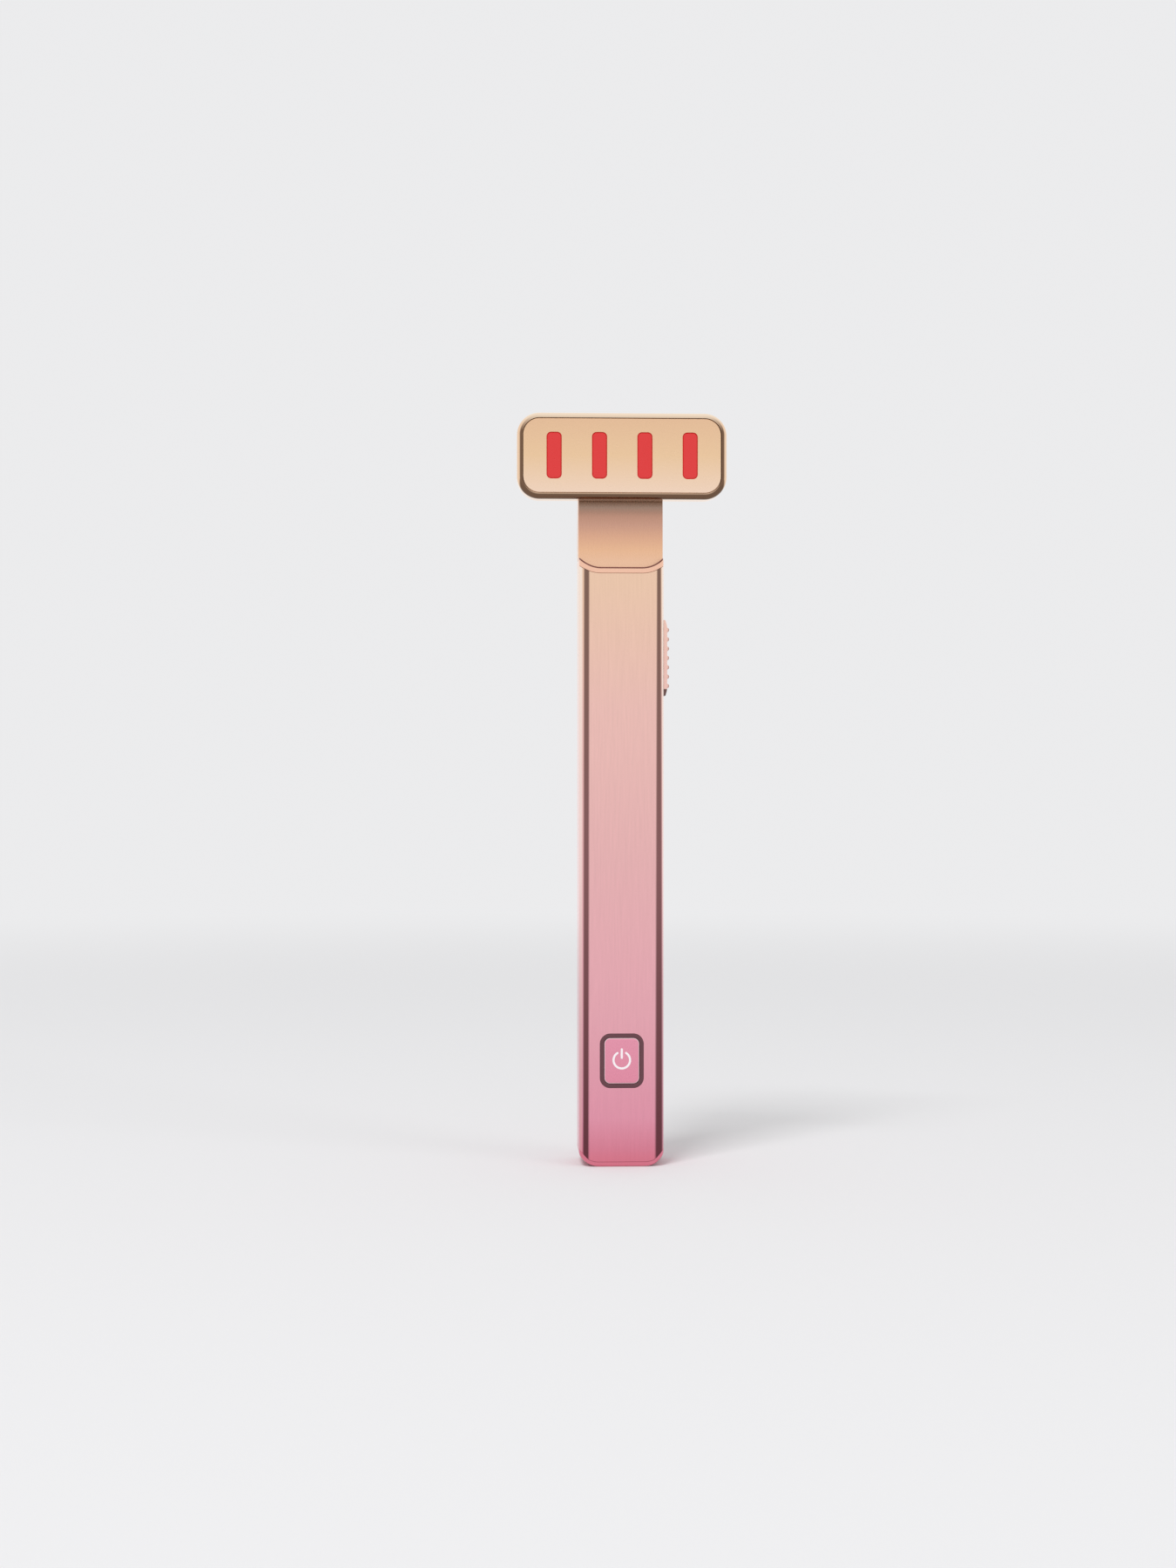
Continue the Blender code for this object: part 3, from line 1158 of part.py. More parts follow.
def vibration_motor():
    """A can with a bore for its shaft at the top."""
    can = slab("vibration_motor", [circle(MOTOR_RADIUS, ROUND_STEPS, (MOTOR_X, BODY_Y))],
               MOTOR_BOTTOM, MOTOR_TOP, "Z", STEEL)
    nose = slab("motor_nose", [circle(MOTOR_NOSE, SMALL_STEPS, (MOTOR_X, BODY_Y))],
                MOTOR_TOP - WEIGHT_GAP, MOTOR_TOP + WEIGHT_GAP / 2, "Z")
    join(can, nose)
    bore = slab("motor_bore", [circle(MOTOR_SHAFT_RADIUS + FIT, SMALL_STEPS, (MOTOR_X, BODY_Y))],
                MOTOR_TOP - WEIGHT_LENGTH, MOTOR_TOP + OVERRUN, "Z")
    return cut(can, bore)


def motor_sleeve():
    outer = circle(MOTOR_RADIUS + SLEEVE_WALL, ROUND_STEPS, (MOTOR_X, BODY_Y))
    inner = circle(MOTOR_RADIUS + SEAM, ROUND_STEPS, (MOTOR_X, BODY_Y))
    set_in = MOTOR_LENGTH / 8
    return slab("motor_sleeve", [outer, inner], MOTOR_BOTTOM + set_in, MOTOR_TOP - set_in, "Z", RUBBER)


def eccentric_weight():
    """A half disc on the motor's shaft."""
    low = MOTOR_TOP + WEIGHT_GAP
    half_disc = arc((MOTOR_X, BODY_Y), (WEIGHT_RADIUS, WEIGHT_RADIUS), 180, 360, ROUND_STEPS // 2)
    weight = slab("eccentric_weight", [half_disc], low, low + WEIGHT_LENGTH, "Z", STEEL)
    shaft = slab("motor_shaft", [circle(MOTOR_SHAFT_RADIUS, SMALL_STEPS, (MOTOR_X, BODY_Y))],
                 MOTOR_TOP - WEIGHT_LENGTH + FIT, low + WEIGHT_LENGTH + WEIGHT_GAP / 2, "Z")
    return join(weight, shaft)


# Wires

def wires():
    side = SIDE_WALL_INSIDE
    head_cable = (
        stretch(HEAD_CABLE_FROM_PIVOT, 0, PIVOT_HEIGHT) + stretch(HEAD_CABLE_FROM_PLUG, 0, NECK_PLUG_BOTTOM)
    )
    red_lead = (
        stretch(RED_LEAD_FROM_TAB, 0, BATTERY_TOP)
        + stretch(RED_LEAD_FROM_BATTERY, side, BATTERY_TOP)
        + stretch(RED_LEAD_FROM_BOARD, side, BOARD_TOP)
    )
    black_lead = stretch(BLACK_LEAD_FROM_TAB, 0, BATTERY_BOTTOM)
    switch_lead = stretch(SWITCH_LEAD_FROM_ROOM, side, WORKS_ROOM_BOTTOM)
    return [
        tube_through("head_cable", head_cable, CABLE_RADIUS, WIRE_BLACK),
        tube_through("battery_lead_red", red_lead, WIRE_RADIUS, WIRE_RED),
        tube_through("battery_lead_black", black_lead, WIRE_RADIUS, WIRE_BLACK),
        tube_through("switch_lead", switch_lead, WIRE_RADIUS, WIRE_GREY),
    ]


# Assembly

def carry(name, place, pieces):
    """Hangs pieces on an empty at a place, without moving them."""
    holder = bpy.data.objects.new(name, None)
    holder.location = place
    PARTS.objects.link(holder)
    bpy.context.view_layer.update()
    for piece in pieces:
        piece.parent = holder
        piece.matrix_parent_inverse = holder.matrix_world.inverted()
    return holder


def build():
    head = [
        treatment_plate(), heater_film(), head_seal(), light_diffuser(), led_board(),
        head_housing(), pivot_shaft(), retaining_clip(),
    ]
    head += leds() + light_screws()
    works = [
        neck_arm(), neck_back_cover(), friction_washer(), wave_spring(), top_collar(), handle_tube(),
        bottom_cap(), cap_seal(), usb_shell(), usb_tongue(), inner_chassis(), main_board(),
        battery_cell(), tact_switch(), button_ring(), ground_spring(), switch_board(),
        slide_switch_body(), vibration_motor(), motor_sleeve(),
    ]
    works += main_board_screws() + battery_tabs() + wires()
    carry("wand", (0, 0, 0), works)
    carry("head_pivot", (0, 0, PIVOT_HEIGHT), head)
    carry("button_guide", (0, BODY_FRONT, BUTTON_HEIGHT), [power_button(), tact_plunger()])
    carry("slider_guide", (SIDE_WALL, BODY_Y, SLIDER_HEIGHT), [mode_slider(), slider_carriage()])
    carry("motor_axis", (MOTOR_X, BODY_Y, MOTOR_TOP), [eccentric_weight()])


build()
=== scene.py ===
# %% [markdown]
# A hand-held light wand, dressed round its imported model.
#
# The wand stands on its end cap at the middle of the world, and its light face looks along -Y. The
# outer shells are drawn again here with smooth curves and fine edges, and the works inside keep their
# solids.

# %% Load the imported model
import math

import bmesh
import bpy
import numpy as np
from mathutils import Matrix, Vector
from mathutils.geometry import tessellate_polygon


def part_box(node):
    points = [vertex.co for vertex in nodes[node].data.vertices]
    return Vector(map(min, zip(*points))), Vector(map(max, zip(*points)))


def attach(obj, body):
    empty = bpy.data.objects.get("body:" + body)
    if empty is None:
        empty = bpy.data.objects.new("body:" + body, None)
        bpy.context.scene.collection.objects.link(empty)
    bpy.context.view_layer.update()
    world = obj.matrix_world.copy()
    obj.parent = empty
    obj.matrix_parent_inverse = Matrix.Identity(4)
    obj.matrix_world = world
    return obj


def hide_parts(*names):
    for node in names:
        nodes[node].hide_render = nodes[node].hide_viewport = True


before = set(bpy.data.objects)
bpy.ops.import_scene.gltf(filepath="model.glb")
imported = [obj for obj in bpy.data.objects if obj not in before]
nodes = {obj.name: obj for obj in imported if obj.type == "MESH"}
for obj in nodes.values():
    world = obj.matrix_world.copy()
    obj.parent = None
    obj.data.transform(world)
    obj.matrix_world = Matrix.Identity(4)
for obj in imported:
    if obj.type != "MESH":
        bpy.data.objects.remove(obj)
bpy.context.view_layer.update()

MM = 0.001
scene = bpy.context.scene

# %% [markdown]
# The camera looks level, from about arm's length, and only a few degrees off the wand's front.
# A camera is placed by three facts: how far away it is, how high it stands, and how many pixels of the
# picture one millimetre of the wand takes up. The lens follows from them, because the picture's height
# in pixels over the focal length in pixels is the sensor's height over the lens's focal length.

# %% Camera
PHOTO_WIDTH = 1350
PHOTO_HEIGHT = 1800
PIXELS_PER_MM = 5.155
FOOT_PIXEL = 1340
MIDDLE_PIXEL = 712.5
CAMERA_DISTANCE = 550 * MM
FRONT_PLANE = 7 * MM
CAMERA_SIDE = math.radians(-2.5)
SENSOR = 36.0

camera_height = (FOOT_PIXEL - PHOTO_HEIGHT / 2) / PIXELS_PER_MM * MM
side_step = (PHOTO_WIDTH / 2 - MIDDLE_PIXEL) / PIXELS_PER_MM * MM
across = Vector((math.cos(CAMERA_SIDE), math.sin(CAMERA_SIDE), 0))
away = Vector((math.sin(CAMERA_SIDE), -math.cos(CAMERA_SIDE), 0))
focal_pixels = PIXELS_PER_MM * (CAMERA_DISTANCE - FRONT_PLANE) / MM

camera_data = bpy.data.cameras.new("camera")
camera_data.sensor_fit = "VERTICAL"
camera_data.sensor_height = SENSOR
camera_data.lens = focal_pixels / PHOTO_HEIGHT * SENSOR
camera = bpy.data.objects.new("camera", camera_data)
camera.location = away * CAMERA_DISTANCE + across * side_step + Vector((0, 0, camera_height))
camera.rotation_euler = (math.radians(90), 0, CAMERA_SIDE)
scene.collection.objects.link(camera)
scene.camera = camera
print("lens", round(camera_data.lens, 1), "camera at", [round(c, 4) for c in camera.location])

# %% [markdown]
# A material and a world are both trees of nodes. Written out, each node takes several lines, so a few
# helpers come first: one fills an input with a value or a link, and one adds a node and gives back the
# output that is used next. A noise hardly leaves the middle of its range, so a value is mapped from
# there unless a call says otherwise.

# %% Helpers for nodes
NOISE_LOW_SHARE = 0.3
NOISE_HIGH_SHARE = 0.7


def feed(tree, socket, value):
    """Give a socket a value, or link another node's output to it."""
    if isinstance(value, bpy.types.NodeSocket):
        tree.links.new(value, socket)
    else:
        socket.default_value = value


def add_node(tree, kind, inputs, output=0, **settings):
    """One output of a new shader node; each input is a value or another node's output."""
    node = tree.nodes.new("ShaderNode" + kind)
    for key, value in settings.items():
        setattr(node, key, value)
    for key, value in inputs.items():
        feed(tree, node.inputs[key], value)
    return node.outputs[output]


def worked(tree, operation, *values):
    """The result of a Math node."""
    return add_node(tree, "Math", dict(enumerate(values)), operation=operation)


def mixed(tree, share, first, second, **settings):
    """The first colour where the share is nought, and the second where it is one."""
    inputs = {"Factor": share, "A": first, "B": second}
    return add_node(tree, "Mix", inputs, "Result", data_type="RGBA", **settings)


def between(tree, value, low, high, start=NOISE_LOW_SHARE, end=NOISE_HIGH_SHARE, **settings):
    """A value that goes from low to high while another goes from its start to its end."""
    inputs = {"Value": value, "From Min": start, "From Max": end, "To Min": low, "To Max": high}
    return add_node(tree, "MapRange", inputs, **settings)


def object_place(tree, axis):
    """The object coordinate along an axis."""
    return add_node(tree, "SeparateXYZ", {0: add_node(tree, "TexCoord", {}, "Object")}, axis)


def material(name, sockets):
    """A material, its tree and its shader, with values for some of the shader's sockets."""
    made = bpy.data.materials.new(name)
    made.use_nodes = True
    tree = made.node_tree
    shader = tree.nodes["Principled BSDF"]
    for key, value in sockets.items():
        feed(tree, shader.inputs[key], value)
    return made, tree, shader


print("values are mapped from between", NOISE_LOW_SHARE, "and", NOISE_HIGH_SHARE, "by default")

# %% [markdown]
# A picture of polished metal is mostly a picture of the room. The room here is one wide pale floor under
# an even pale sky. Near the wand the floor is matt paint and takes its shadow. Further off it gives the
# sky's own tone, so that no horizon shows from any side. The camera sees that sky pale grey, and the metal
# mirrors it white.

# %% Floor and backdrop
ROOM_PALE = (0.81, 0.81, 0.822, 1)
ROOM_SEEN = (0.836, 0.836, 0.846, 1)
ROOM_MIRRORED = (1, 1, 1, 1)
FLOOR_HALF = 20.0
FLOOR_PAINT = {"Base Color": ROOM_PALE, "Roughness": 0.9, "Specular IOR Level": 0.1}
FADE_START = 0.3
FADE_END = 1.1


def seen_rays(tree):
    """One for rays from the camera, from gloss and through glass, and nought for the rest."""
    rays = tree.nodes.new("ShaderNodeLightPath").outputs
    bent = worked(tree, "MAXIMUM", rays["Is Glossy Ray"], rays["Is Transmission Ray"])
    return worked(tree, "MAXIMUM", rays["Is Camera Ray"], bent)


def far_room(tree):
    """The room's far tone: pale grey for the camera, white for the metal."""
    return mixed(tree, add_node(tree, "LightPath", {}, "Is Camera Ray"), ROOM_MIRRORED, ROOM_SEEN)


corners = np.array([(-1, -1, 0), (1, -1, 0), (1, 1, 0), (-1, 1, 0)]) * FLOOR_HALF
floor_mesh = bpy.data.meshes.new("pale_floor")
floor_mesh.from_pydata(corners.tolist(), [], [(0, 1, 2, 3)])
floor = bpy.data.objects.new("pale_floor", floor_mesh)
scene.collection.objects.link(floor)
floor_paint, tree, shader = material("pale_floor_paint", FLOOR_PAINT)
where = add_node(tree, "TexCoord", {}, "Object")
from_wand = add_node(tree, "VectorMath", {0: where}, "Value", operation="LENGTH")
faded = between(tree, from_wand, 0, 1, FADE_START, FADE_END, interpolation_type="SMOOTHSTEP")
sky_share = worked(tree, "MULTIPLY", faded, seen_rays(tree))
sky = add_node(tree, "Emission", {"Color": far_room(tree)})
paint_and_sky = add_node(tree, "MixShader", {0: sky_share, 1: shader.outputs[0], 2: sky})
feed(tree, tree.nodes["Material Output"].inputs["Surface"], paint_and_sky)
floor_mesh.materials.append(floor_paint)
print("floor half width", FLOOR_HALF)

# %% [markdown]
# The world gives an even light from all round, and the metal mirrors it. A large lamp above the camera
# gives the soft shadow on the floor, and a weak one at the side keeps the other flank open. Neither is
# seen in the metal.

# %% World and lamps
WORLD_LIGHT = (0.62, 0.62, 0.62, 1)
# Each lamp: its place, its aim and the length of its side in metres, and its power in watts
LAMPS = {
    "top_lamp": ((-0.7, -1.3, 2.4), (0, 0, 0), 0.8, 34.0),
    "side_lamp": ((1.8, -1.4, 1.2), (0, 0, 0.09), 1.0, 6.0),
}

world = bpy.data.worlds.new("studio")
world.use_nodes = True
scene.world = world
tree = world.node_tree
sky_tone = mixed(tree, seen_rays(tree), WORLD_LIGHT, far_room(tree))
feed(tree, tree.nodes["Background"].inputs["Color"], sky_tone)

for name, (place, aim, side, power) in LAMPS.items():
    light = bpy.data.lights.new(name, "AREA")
    light.shape = "SQUARE"
    light.size = side
    light.energy = power
    lamp = bpy.data.objects.new(name, light)
    lamp.location = place
    lamp.rotation_euler = (Vector(aim) - Vector(place)).to_track_quat("-Z", "Y").to_euler()
    lamp.visible_glossy = False
    scene.collection.objects.link(lamp)
scene.view_settings.view_transform = "Standard"

# %% [markdown]
# Every shell below is built from closed outlines. An outline is a list of points in a plane, and an
# inset draws it in. A rolled edge is a stack of the same outline: each ring is a little less drawn in and
# a little deeper than the one before, along a quarter circle. The rings of a stack are joined by quads,
# and the flat ends are filled by Blender's own polygon filler, which also leaves holes open.

# %% Outlines
CORNER_STEPS = 14
ROLL_STEPS = 6
LEAST_STEP_SHARE = 0.25
SEAM = 0.1 * MM
XY = (0, 1)
XZ = (0, 2)
YZ = (1, 2)


def rounded(half_x, half_y, corner, middle=(0, 0), steps=CORNER_STEPS):
    """A closed rectangle with round corners; its first point is repeated at its end.

    Each corner is a quarter circle about a point one corner radius in from both sides.
    """
    turn = np.linspace(0, math.pi / 2, steps + 1)
    angle = (turn + np.arange(4)[:, None] * math.pi / 2).ravel()
    sign_x = np.repeat([1, -1, -1, 1], steps + 1)
    sign_y = np.repeat([1, 1, -1, -1], steps + 1)
    x = middle[0] + sign_x * (half_x - corner) + corner * np.cos(angle)
    y = middle[1] + sign_y * (half_y - corner) + corner * np.sin(angle)
    loop = np.column_stack((x, y))
    return np.vstack((loop, loop[:1]))


def framed(half_x, half_y, corner, middle=(0, 0), steps=CORNER_STEPS):
    """An outline that can be drawn in: a rounded rectangle for each inset."""
    return lambda inset: rounded(half_x - inset, half_y - inset, max(corner - inset, SEAM), middle, steps)


def disc(radius, middle=(0, 0), steps=CORNER_STEPS):
    """A circle, as a rounded square whose corners meet."""
    return rounded(radius, radius, radius, middle, steps)


def divided(loop, step):
    """A closed outline with points added at every step along it, but none close to one of its own."""
    run = np.concatenate(([0], np.cumsum(np.hypot(*np.diff(loop, axis=0).T))))
    extra = np.arange(0, run[-1], step)
    nearest = np.abs(run[np.searchsorted(run, extra).clip(0, len(run) - 1)] - extra)
    before = np.abs(run[(np.searchsorted(run, extra) - 1).clip(0)] - extra)
    clear_of_points = np.minimum(nearest, before) > step * LEAST_STEP_SHARE
    places = np.union1d(run, extra[clear_of_points])
    return np.column_stack([np.interp(places, run, loop[:, k]) for k in XY])


def rolled(edge, steps=ROLL_STEPS, lean=0.0):
    """Pairs of inset and depth along a quarter circle, from the flat face round to the side.

    With a lean, the circle starts where its surface already leans away from the face by that angle.
    """
    turn = np.linspace(lean, math.pi / 2, steps + 1)
    return list(zip(edge * (1 - np.sin(turn)), edge * (math.cos(lean) - np.cos(turn))))


def at_depth(loop, depth):
    """An outline in X and Z at a depth in Y, which may differ from point to point."""
    return np.column_stack((loop[:, 0], np.broadcast_to(depth, len(loop)), loop[:, 1]))


def at_height(loop, height):
    """An outline in X and Y at a height in Z, which may differ from point to point."""
    return np.column_stack((loop[:, 0], loop[:, 1], np.broadcast_to(height, len(loop))))


def wall(rings):
    """Quads between one ring of points and the next."""
    rings = np.asarray(rings)
    rows, columns = rings.shape[:2]
    corner = (np.arange(rows - 1)[:, None] * columns + np.arange(columns - 1)).ravel()
    return rings.reshape(-1, 3), np.column_stack((corner, corner + 1, corner + columns + 1, corner + columns))


def cap(*loops, flat=XZ):
    """Triangles that fill the first closed ring and leave the others open; they lie in a flat plane."""
    flat_loops = [[Vector((*point[list(flat)], 0)) for point in loop[:-1]] for loop in loops]
    return np.vstack([loop[:-1] for loop in loops]), np.array(tessellate_polygon(flat_loops))


def tunnel(loop, *depths):
    """A wall along Y that follows one outline through several depths."""
    return wall([at_depth(loop, depth) for depth in depths])


def panel(depth, *loops):
    """The first outline filled at a depth in Y, with the others left open in it."""
    return cap(*[at_depth(loop, depth) for loop in loops])


def sunk(loop, start, end, *holes):
    """A recess or a boss: a wall along Y from its start to its end, and its floor with holes left open."""
    return [tunnel(loop, start, end), panel(end, loop, *holes)]


def stack(outline, front, back, edge, way=1):
    """Rings of an outline from a rolled front edge straight back; way is -1 for the edge of a hole."""
    rings = [at_depth(outline(way * inset), front + depth) for inset, depth in rolled(edge)]
    return rings + [at_depth(outline(0), back)]


print("points of a rounded outline", 4 * (CORNER_STEPS + 1) + 1)

# %% [markdown]
# A piece is one closed surface made of such patches. The patches share their border points, so welding
# those points closes it, and turning all faces outwards afterwards spares every patch from minding its
# own winding. Each piece hangs on the body that carries the solid it stands for.

# %% Pieces
WELD = 0.001 * MM
SHARP = math.radians(40)
FINISHES = {}


def piece(name, patches, finish, body, stands_for=()):
    """One closed surface from its patches, welded, turned outwards and hung on a body."""
    shape = bmesh.new()
    for points, faces in patches:
        corners = [shape.verts.new(point) for point in points.tolist()]
        for face in faces.tolist():
            shape.faces.new([corners[k] for k in face])
    bmesh.ops.remove_doubles(shape, verts=shape.verts, dist=WELD)
    bmesh.ops.dissolve_degenerate(shape, edges=shape.edges, dist=WELD)
    bmesh.ops.recalc_face_normals(shape, faces=shape.faces)
    open_edges = sum(not edge.is_manifold for edge in shape.edges)
    mesh = bpy.data.meshes.new(name)
    shape.to_mesh(mesh)
    shape.free()
    mesh.shade_smooth()
    mesh.set_sharp_from_angle(angle=SHARP)
    made = bpy.data.objects.new(name, mesh)
    scene.collection.objects.link(made)
    level_flats = made.modifiers.new("level_flats", "WEIGHTED_NORMAL")
    level_flats.keep_sharp = True
    FINISHES.setdefault(finish, []).append(made)
    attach(made, body)
    if stands_for:
        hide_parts(*stands_for)
    print(name, len(mesh.polygons), "faces", open_edges, "open edges")
    return made


# %% [markdown]
# The handle, its collar and its end cap share one section: a rounded rectangle. The collar and the tube
# end in a curve that follows the round end of the head when it is turned in line, a level line and two
# circles about the head's corners. The cap's seam turns up at both sides along an ellipse.

# %% Sizes that the shells share
tube_low, tube_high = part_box("handle_tube")
head_low, head_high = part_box("head_housing")
plate_low, plate_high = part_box("treatment_plate")
neck_low, neck_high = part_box("neck_arm")

BODY_HALF = tube_high.x
BODY_FRONT = tube_low.y
BODY_BACK = tube_high.y
BODY_MIDDLE = (BODY_FRONT + BODY_BACK) / 2
BODY_HALF_DEPTH = (BODY_BACK - BODY_FRONT) / 2
BODY_CORNER = 2.2 * MM
BODY_WALL = 1.0 * MM
CORE_HALF = BODY_HALF - BODY_CORNER
CORE_FRONT = BODY_FRONT + BODY_CORNER
CORE_BACK = BODY_BACK - BODY_CORNER
SECTION_STEP = 0.5 * MM
PIVOT = (head_low.z + head_high.z) / 2
HEAD_CORNER = 5.0 * MM
HEAD_HALF = head_high.x
HEAD_HALF_HEIGHT = (head_high.z - head_low.z) / 2
SWING_GAP = 1.5 * MM
COLLAR_HEIGHT = 1.1 * MM
SHOULDER_FLAT = HEAD_HALF_HEIGHT - HEAD_CORNER
SHOULDER_CENTRE = PIVOT - HEAD_HALF + HEAD_CORNER
COLLAR_TOP = HEAD_CORNER + SWING_GAP
TUBE_TOP = COLLAR_TOP + COLLAR_HEIGHT
FOOT_ACROSS = 4.4 * MM
FOOT_UP = 3.2 * MM
CAP_LIP = 1.0 * MM
HAIRLINE = 0.03 * MM
FIT = 0.15 * MM
GAP = 0.3 * MM
FOOT_SEAM_TURN = math.radians(60)

section_loop = divided(rounded(BODY_HALF, BODY_HALF_DEPTH, BODY_CORNER, (0, BODY_MIDDLE)), SECTION_STEP)
core = np.array((BODY_HALF, BODY_HALF_DEPTH)) - BODY_CORNER
section_core = np.clip(section_loop - (0, BODY_MIDDLE), -core, core) + (0, BODY_MIDDLE)
section_outwards = (section_loop - section_core) / BODY_CORNER


def body_section(inset):
    """The handle's section drawn in: each point moves in along the line to its corner's middle."""
    return section_loop - inset * section_outwards


def shoulder(x, radius):
    """Height of the shoulder: level, then a circle of this radius about the head's corner."""
    out = np.maximum(np.abs(x) - SHOULDER_FLAT, 0)
    return SHOULDER_CENTRE - np.sqrt(radius ** 2 - out ** 2)


def at_shoulder(loop, radius, rise=0):
    """An outline in X and Y that follows a shoulder curve, at a height over it."""
    return at_height(loop, shoulder(loop[:, 0], radius) + rise)


def foot_seam(x, rise=0):
    """Height of the cap's seam: level, then an ellipse to 60 degrees, then its last slope."""
    wide = FOOT_ACROSS - CAP_LIP
    tall = FOOT_UP - CAP_LIP
    bend = wide * math.sin(FOOT_SEAM_TURN)
    out = np.maximum(np.abs(x) - (BODY_HALF - FOOT_ACROSS), 0)
    on_curve = FOOT_UP - tall * np.sqrt(1 - (np.minimum(out, bend) / wide) ** 2)
    slope = tall / wide * math.tan(FOOT_SEAM_TURN)
    return rise + on_curve + slope * np.maximum(out - bend, 0)


print("section points", len(section_loop), "shoulder at", round(float(shoulder(0, COLLAR_TOP)) / MM, 2))

# %% [markdown]
# The handle is a drawn tube. Its outer wall runs from the cap's seam to the shoulder, and both ends have a
# fine rolled edge that catches the light. The front flat has a window for the power button and the right
# flat a slot for the slider's stem, so each of these flats is one polygon with a hole, outside and inside.

# %% Handle tube
TUBE_EDGE = 0.07 * MM
FINE_STEPS = 4
STEM_STEPS = 6
RING_HALF = (4.88 * MM, 6.06 * MM)
RING_CORNER = 2.3 * MM
SLIDER_TRAVEL = 4.0 * MM
STEM_HALF = (1.4 * MM, 1.8 * MM)
button_low, button_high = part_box("power_button")
slider_low, slider_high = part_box("mode_slider")
BUTTON_MIDDLE = (button_low.z + button_high.z) / 2
SLIDER_MIDDLE = (slider_low.z + slider_high.z) / 2
INSIDE_FRONT = BODY_FRONT + BODY_WALL
INSIDE_RIGHT = BODY_HALF - BODY_WALL

ring_outside = framed(*RING_HALF, RING_CORNER, (0, BUTTON_MIDDLE))


def window_ring(y):
    """The button's window in the front wall, at a depth."""
    return at_depth(ring_outside(-HAIRLINE), y)


def slot_ring(x):
    """The slot for the slider's stem in the right wall, at a place across."""
    half_tall = STEM_HALF[1] + SLIDER_TRAVEL / 2
    middle = (BODY_MIDDLE, SLIDER_MIDDLE - SLIDER_TRAVEL / 2)
    loop = rounded(STEM_HALF[0], half_tall, STEM_HALF[0], middle, STEM_STEPS)
    return np.column_stack((np.full(len(loop), x), loop))


def flat_run(ring, axis, value):
    """The points of a closed ring that lie on a flat side, in their order round it."""
    on_side = np.isclose(ring[:-1, axis], value, atol=WELD)
    first = np.flatnonzero(on_side & ~np.roll(on_side, 1))[0]
    return (first + np.arange(on_side.sum())) % len(on_side)


def pierced_wall(lower, upper, holes):
    """A wall between two rings; each hole is (axis, value on it, ring, plane) and lies in a flat side."""
    points, faces = wall((lower, upper))
    keep = np.ones(len(faces), bool)
    patches = []
    for axis, value, hole, plane in holes:
        on_side = np.isclose(lower[:, axis], value, atol=WELD)
        keep &= ~(on_side[:-1] & on_side[1:])
        run = flat_run(lower, axis, value)
        outline = np.vstack((lower[run], upper[run[::-1]], lower[run[:1]]))
        patches.append(cap(outline, hole, flat=plane))
    return [(points, faces[keep])] + patches


def tube_ends(inset, step):
    """The tube's lower and upper ring, drawn in, and moved into the tube by a step."""
    loop = body_section(inset)
    lower = at_height(loop, foot_seam(loop[:, 0], HAIRLINE) + step)
    return lower, at_shoulder(loop, TUBE_TOP, -step)


edge_rings = [tube_ends(inset, step) for inset, step in rolled(TUBE_EDGE, FINE_STEPS)]
inner_rings = tube_ends(BODY_WALL, 0)
tube_patches = [wall([ends[k] for ends in edge_rings]) for k in (0, 1)]
tube_patches += [wall([inner_rings[k], edge_rings[0][k]]) for k in (0, 1)]
tube_patches += [wall([window_ring(BODY_FRONT), window_ring(INSIDE_FRONT)])]
tube_patches += [wall([slot_ring(BODY_HALF), slot_ring(INSIDE_RIGHT)])]
sides = ((edge_rings[-1], BODY_FRONT, BODY_HALF), (inner_rings, INSIDE_FRONT, INSIDE_RIGHT))
for rings, front, right in sides:
    holes = [(1, front, window_ring(front), XZ), (0, right, slot_ring(right), YZ)]
    tube_patches += pierced_wall(*rings, holes)
piece("handle_shell", tube_patches, "rose_satin_metal", "handle", ["handle_tube"])

# %% [markdown]
# The collar is a bright ring on top of the tube. Its profile is a closed loop of insets and heights: up the
# inner wall, over a rolled upper edge, down the outside, round the lower edge and back. Carried round the
# section, the profile's heights hang from the shoulder's curve. A thin dark strip lies on it as painted
# shade: it draws the shadow gap below the neck as a fine dark line.

# %% Collar and the dark strip of painted shade
COLLAR_EDGE = 0.12 * MM
SHADE_STRIP_HEIGHT = 0.28 * MM
SHADE_STRIP_EDGE = SHADE_STRIP_HEIGHT / 3
SHADE_STRIP_INSET = 0.12 * MM
BAND_STEPS = 5


def shoulder_band(top, bottom, edge, face_inset):
    """A band between two shoulder curves, as deep as the tube's wall, with rolled outer edges.

    Each point of its profile is the radius of a shoulder curve, a height over that curve and an inset.
    """
    roll = rolled(edge, BAND_STEPS)
    profile = [(top, 0, BODY_WALL)]
    profile += [(top, -drop, face_inset + inset) for inset, drop in roll]
    profile += [(bottom, drop, face_inset + inset) for inset, drop in roll[::-1]]
    profile += [(bottom, 0, BODY_WALL), (top, 0, BODY_WALL)]
    return [wall([at_shoulder(body_section(inset), radius, rise) for radius, rise, inset in profile])]


collar = shoulder_band(COLLAR_TOP, TUBE_TOP - HAIRLINE, COLLAR_EDGE, 0)
piece("collar_band", collar, "peach_satin_metal", "handle", ["top_collar"])
# Painted shade: a thin dark strip that stands for the shadow gap between the collar and the neck
seal = shoulder_band(COLLAR_TOP - SHADE_STRIP_HEIGHT, COLLAR_TOP, SHADE_STRIP_EDGE, SHADE_STRIP_INSET)
piece("shoulder_shade_strip", seal, "dark_shade_strip", "handle")

# %% [markdown]
# The end cap closes the round foot. At each height its section is the handle's, but narrower where the
# foot's corner has turned in: the half-width follows an ellipse, and the corner's own middle stays put
# until the width has passed it. The front and back roll in over the last fraction of a millimetre.

